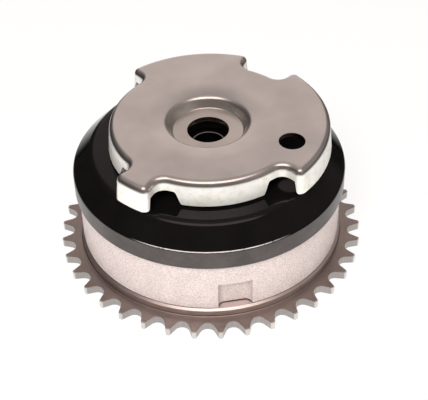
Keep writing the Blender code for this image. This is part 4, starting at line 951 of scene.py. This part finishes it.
def make_wheel(material):
    """Stamped wheel: bent edge of varying depth, dished middle and one round hole."""
    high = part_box("reluctor_wheel")[1]
    lobe_radius = high.y
    top = high.z
    bottom = top - WHEEL_SHEET
    marks = [WHEEL_RELIEF_ARC + WHEEL_RELIEF_RAMP * i / BEND_PARTS for i in range(BEND_PARTS + 1)]
    outline = stepped_outline(WHEEL_GAP_RADIUS, lobe_radius, WHEEL_LOBES, WHEEL_NOTCH_FILLET,
                              WHEEL_LOBE_CORNER, low_marks=marks)
    flare = math.radians(WHEEL_SKIRT_FLARE)
    bend_drop = WHEEL_BEND_RADIUS * (1 - math.sin(flare))
    bend_centre = (WHEEL_SKIRT_DEPTH - bend_drop) * math.tan(flare) + WHEEL_BEND_RADIUS * math.cos(flare)
    turns = [flare + (math.pi / 2 - flare) * i / BEND_PARTS for i in range(BEND_PARTS + 1)]
    skin = Skin()

    def hem(thickness):
        """Ring along the bent edge's foot, this far inside its outer face."""
        ring = []
        for point, outward in outline:
            depth = skirt_depth(point, lobe_radius)
            inset = (WHEEL_SKIRT_DEPTH - depth) * math.tan(flare) + thickness / math.cos(flare)
            ring.append(skin.shape.verts.new((*(point - outward * inset), top - depth)))
        return ring

    def bend_ring(radius, turn):
        """Ring on the bend between the edge and the flat face."""
        inset = bend_centre - radius * math.cos(turn)
        height = top - WHEEL_BEND_RADIUS + radius * math.sin(turn)
        return skin.ring([point - outward * inset for point, outward in outline], height)

    inner_bend = WHEEL_BEND_RADIUS - WHEEL_SHEET
    rings = [bend_ring(inner_bend, turn) for turn in reversed(turns)]
    rings += [hem(WHEEL_SHEET), hem(0.0)]
    rings += [bend_ring(WHEEL_BEND_RADIUS, turn) for turn in turns]
    skin.walls(rings)
    profile = dish_profile(top)
    dish = skin.lathe(list(reversed(under_side(profile, WHEEL_SHEET))) + profile)
    hole = skin.lathe([(WHEEL_HOLE_RADIUS, bottom), (WHEEL_HOLE_RADIUS, top)], HOLE_STEPS,
                      polar(WHEEL_HOLE_CIRCLE, WHEEL_HOLE_ANGLE))
    skin.fill(rings[-1], dish[-1], hole[-1])
    skin.fill(rings[0], dish[0], hole[0])
    wheel = skin.object("reluctor_wheel_fine")
    soften_edges(wheel, SHEET_EDGE, angle=SHEET_EDGE_ANGLE)
    finish_piece(wheel, "reluctor_wheel", material)


# Inner pieces

def shorten_spring(spring):
    """Give a coil spring a mesh of its own."""
    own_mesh(spring)


# Stage, light and camera

def seen_share(tree, camera, mirrored):
    """A factor that differs for the camera's rays and for rays mirrored or let through by a surface."""
    rays = add_node(tree, "ShaderNodeLightPath").outputs
    passed = higher(tree, rays["Is Glossy Ray"], rays["Is Transmission Ray"])
    shown = product(tree, passed, mirrored)
    return higher(tree, shown, product(tree, rays["Is Camera Ray"], camera))


def make_floor():
    """Round white floor that keeps the object's soft shadow."""
    mesh = bpy.data.meshes.new("floor")
    shape = bmesh.new()
    bmesh.ops.create_circle(shape, cap_ends=True, segments=FLOOR_STEPS, radius=FLOOR_RADIUS)
    bmesh.ops.translate(shape, vec=(0, 0, -FLOOR_GAP), verts=shape.verts)
    shape.to_mesh(mesh)
    shape.free()
    floor = link_object("floor", mesh)
    material = bpy.data.materials.new("floor_paper")
    material.use_nodes = True
    tree = material.node_tree
    shader = tree.nodes["Principled BSDF"]
    shader.inputs["Base Color"].default_value = FLOOR_COLOR
    shader.inputs["Roughness"].default_value = FLOOR_ROUGHNESS
    shader.inputs["Specular IOR Level"].default_value = 0.0
    coords = add_node(tree, "ShaderNodeTexCoord").outputs["Object"]
    near = smooth_step(tree, axis_distance(tree, coords), *FLOOR_GLOW_REACH)
    glow = add_node(tree, "ShaderNodeEmission", {"Color": FLOOR_GLOW_COLOR,
                                                 "Strength": seen_share(tree, 1.0, near)})
    glow_share = seen_share(tree, FLOOR_GLOW_SHARE, spread(tree, near, *FLOOR_MIRRORED_SHARE))
    mix = add_node(tree, "ShaderNodeMixShader", {0: glow_share, 1: shader.outputs[0], 2: glow.outputs[0]})
    tree.links.new(mix.outputs[0], tree.nodes["Material Output"].inputs["Surface"])
    mesh.materials.append(material)


def make_world():
    """White for the camera; for light and reflections a room lit from above with a darker side in front."""
    world = bpy.data.worlds.new("studio")
    bpy.context.scene.world = world
    world.use_nodes = True
    tree = world.node_tree
    tree.nodes.clear()
    direction = add_node(tree, "ShaderNodeTexCoord").outputs["Generated"]
    axes = add_node(tree, "ShaderNodeSeparateXYZ", {0: direction}).outputs
    x, y, z = axes["X"], axes["Y"], axes["Z"]
    aside = add_node(tree, "ShaderNodeMath", {0: x}, operation="ABSOLUTE").outputs[0]
    overhead = ramp(tree, z, [(height, grey(level)) for height, level in OVERHEAD_LEVELS])
    backdrop = ramp(tree, z, [(height, grey(level)) for height, level in BACKDROP_LEVELS])
    behind = product(tree, smooth_step(tree, aside, *BACKDROP_SIDES), smooth_step(tree, y, *BACKDROP_DEPTH))
    walls = blend_colors(tree, behind, overhead, backdrop)
    room = blend_colors(tree, smooth_step(tree, y, *FRONT_WALL_DEPTH), walls, FRONT_WALL_COLOR)
    bar = product(tree, between(tree, z, *BAR_HEIGHTS, BAR_HEIGHT_FADE),
                  between(tree, aside, 0.0, BAR_HALF_WIDTH, BAR_WIDTH_FADE))
    lamp = product(tree, product(tree, bar, smooth_step(tree, y, *BAR_DEPTH)), BAR_LEVEL)
    window = product(tree, between(tree, z, *WINDOW_HEIGHTS, WINDOW_HEIGHT_FADE),
                     smooth_step(tree, x, *WINDOW_SIDE))
    lamp = add_node(tree, "ShaderNodeMath", {0: window, 1: WINDOW_LEVEL, 2: lamp},
                    operation="MULTIPLY_ADD").outputs[0]
    lit = add_node(tree, "ShaderNodeMix", {0: 1.0, 6: room, 7: lamp}, data_type="RGBA", blend_type="ADD")
    studio = add_node(tree, "ShaderNodeBackground", {"Color": multiply(tree, lit.outputs[2], ROOM_TINT)})
    white = add_node(tree, "ShaderNodeBackground", {"Color": PLAIN_WHITE})
    mix = add_node(tree, "ShaderNodeMixShader", {0: seen_share(tree, 1.0, 0.0), 1: studio.outputs[0],
                                                 2: white.outputs[0]})
    out = add_node(tree, "ShaderNodeOutputWorld")
    tree.links.new(mix.outputs[0], out.inputs["Surface"])


def make_lamp():
    """A soft lamp above the front that lights the floor and every upright face, and isn't mirrored."""
    lamp = bpy.data.lights.new("front_lamp", "AREA")
    lamp.shape = "RECTANGLE"
    lamp.size = LAMP_WIDTH
    lamp.size_y = LAMP_HEIGHT
    lamp.energy = LAMP_RADIANCE * math.pi * LAMP_WIDTH * LAMP_HEIGHT
    item = bpy.data.objects.new("front_lamp", lamp)
    bpy.context.scene.collection.objects.link(item)
    item.location = LAMP_PLACE
    item.rotation_euler = (Vector(LAMP_TARGET) - Vector(LAMP_PLACE)).to_track_quat("-Z", "Y").to_euler()
    item.visible_glossy = False


def make_camera():
    """The photograph's viewpoint, found from the circles of teeth, drum and cover."""
    data = bpy.data.cameras.new("camera")
    data.lens = CAMERA_LENS
    data.sensor_width = CAMERA_SENSOR
    data.clip_start = CAMERA_CLIP_START
    camera = bpy.data.objects.new("camera", data)
    bpy.context.scene.collection.objects.link(camera)
    aim = Vector(CAMERA_AIM).to_track_quat("-Z", "Y").to_matrix().to_4x4()
    roll = Matrix.Rotation(math.radians(CAMERA_ROLL), 4, "Z")
    camera.matrix_world = Matrix.Translation(CAMERA_PLACE) @ aim @ roll
    bpy.context.scene.camera = camera


def main():
    """Dress the whole part and set the scene."""
    materials = make_materials()
    make_sprocket(materials["machined_steel"])
    make_stator(materials["sintered_steel"])
    make_cover(materials["black_coat"])
    make_wheel(materials["wheel_steel"])
    modelled = {"sprocket", "stator_housing", "front_cover", "reluctor_wheel"}
    inner = {}
    for name in sorted(set(frame["nodes"]) - modelled):
        inner[name] = smooth_copy(name, materials[slots[name]])
    shorten_spring(inner["lock_spring"])
    make_floor()
    make_world()
    make_lamp()
    make_camera()
    bpy.context.scene.view_settings.view_transform = "Standard"


main()
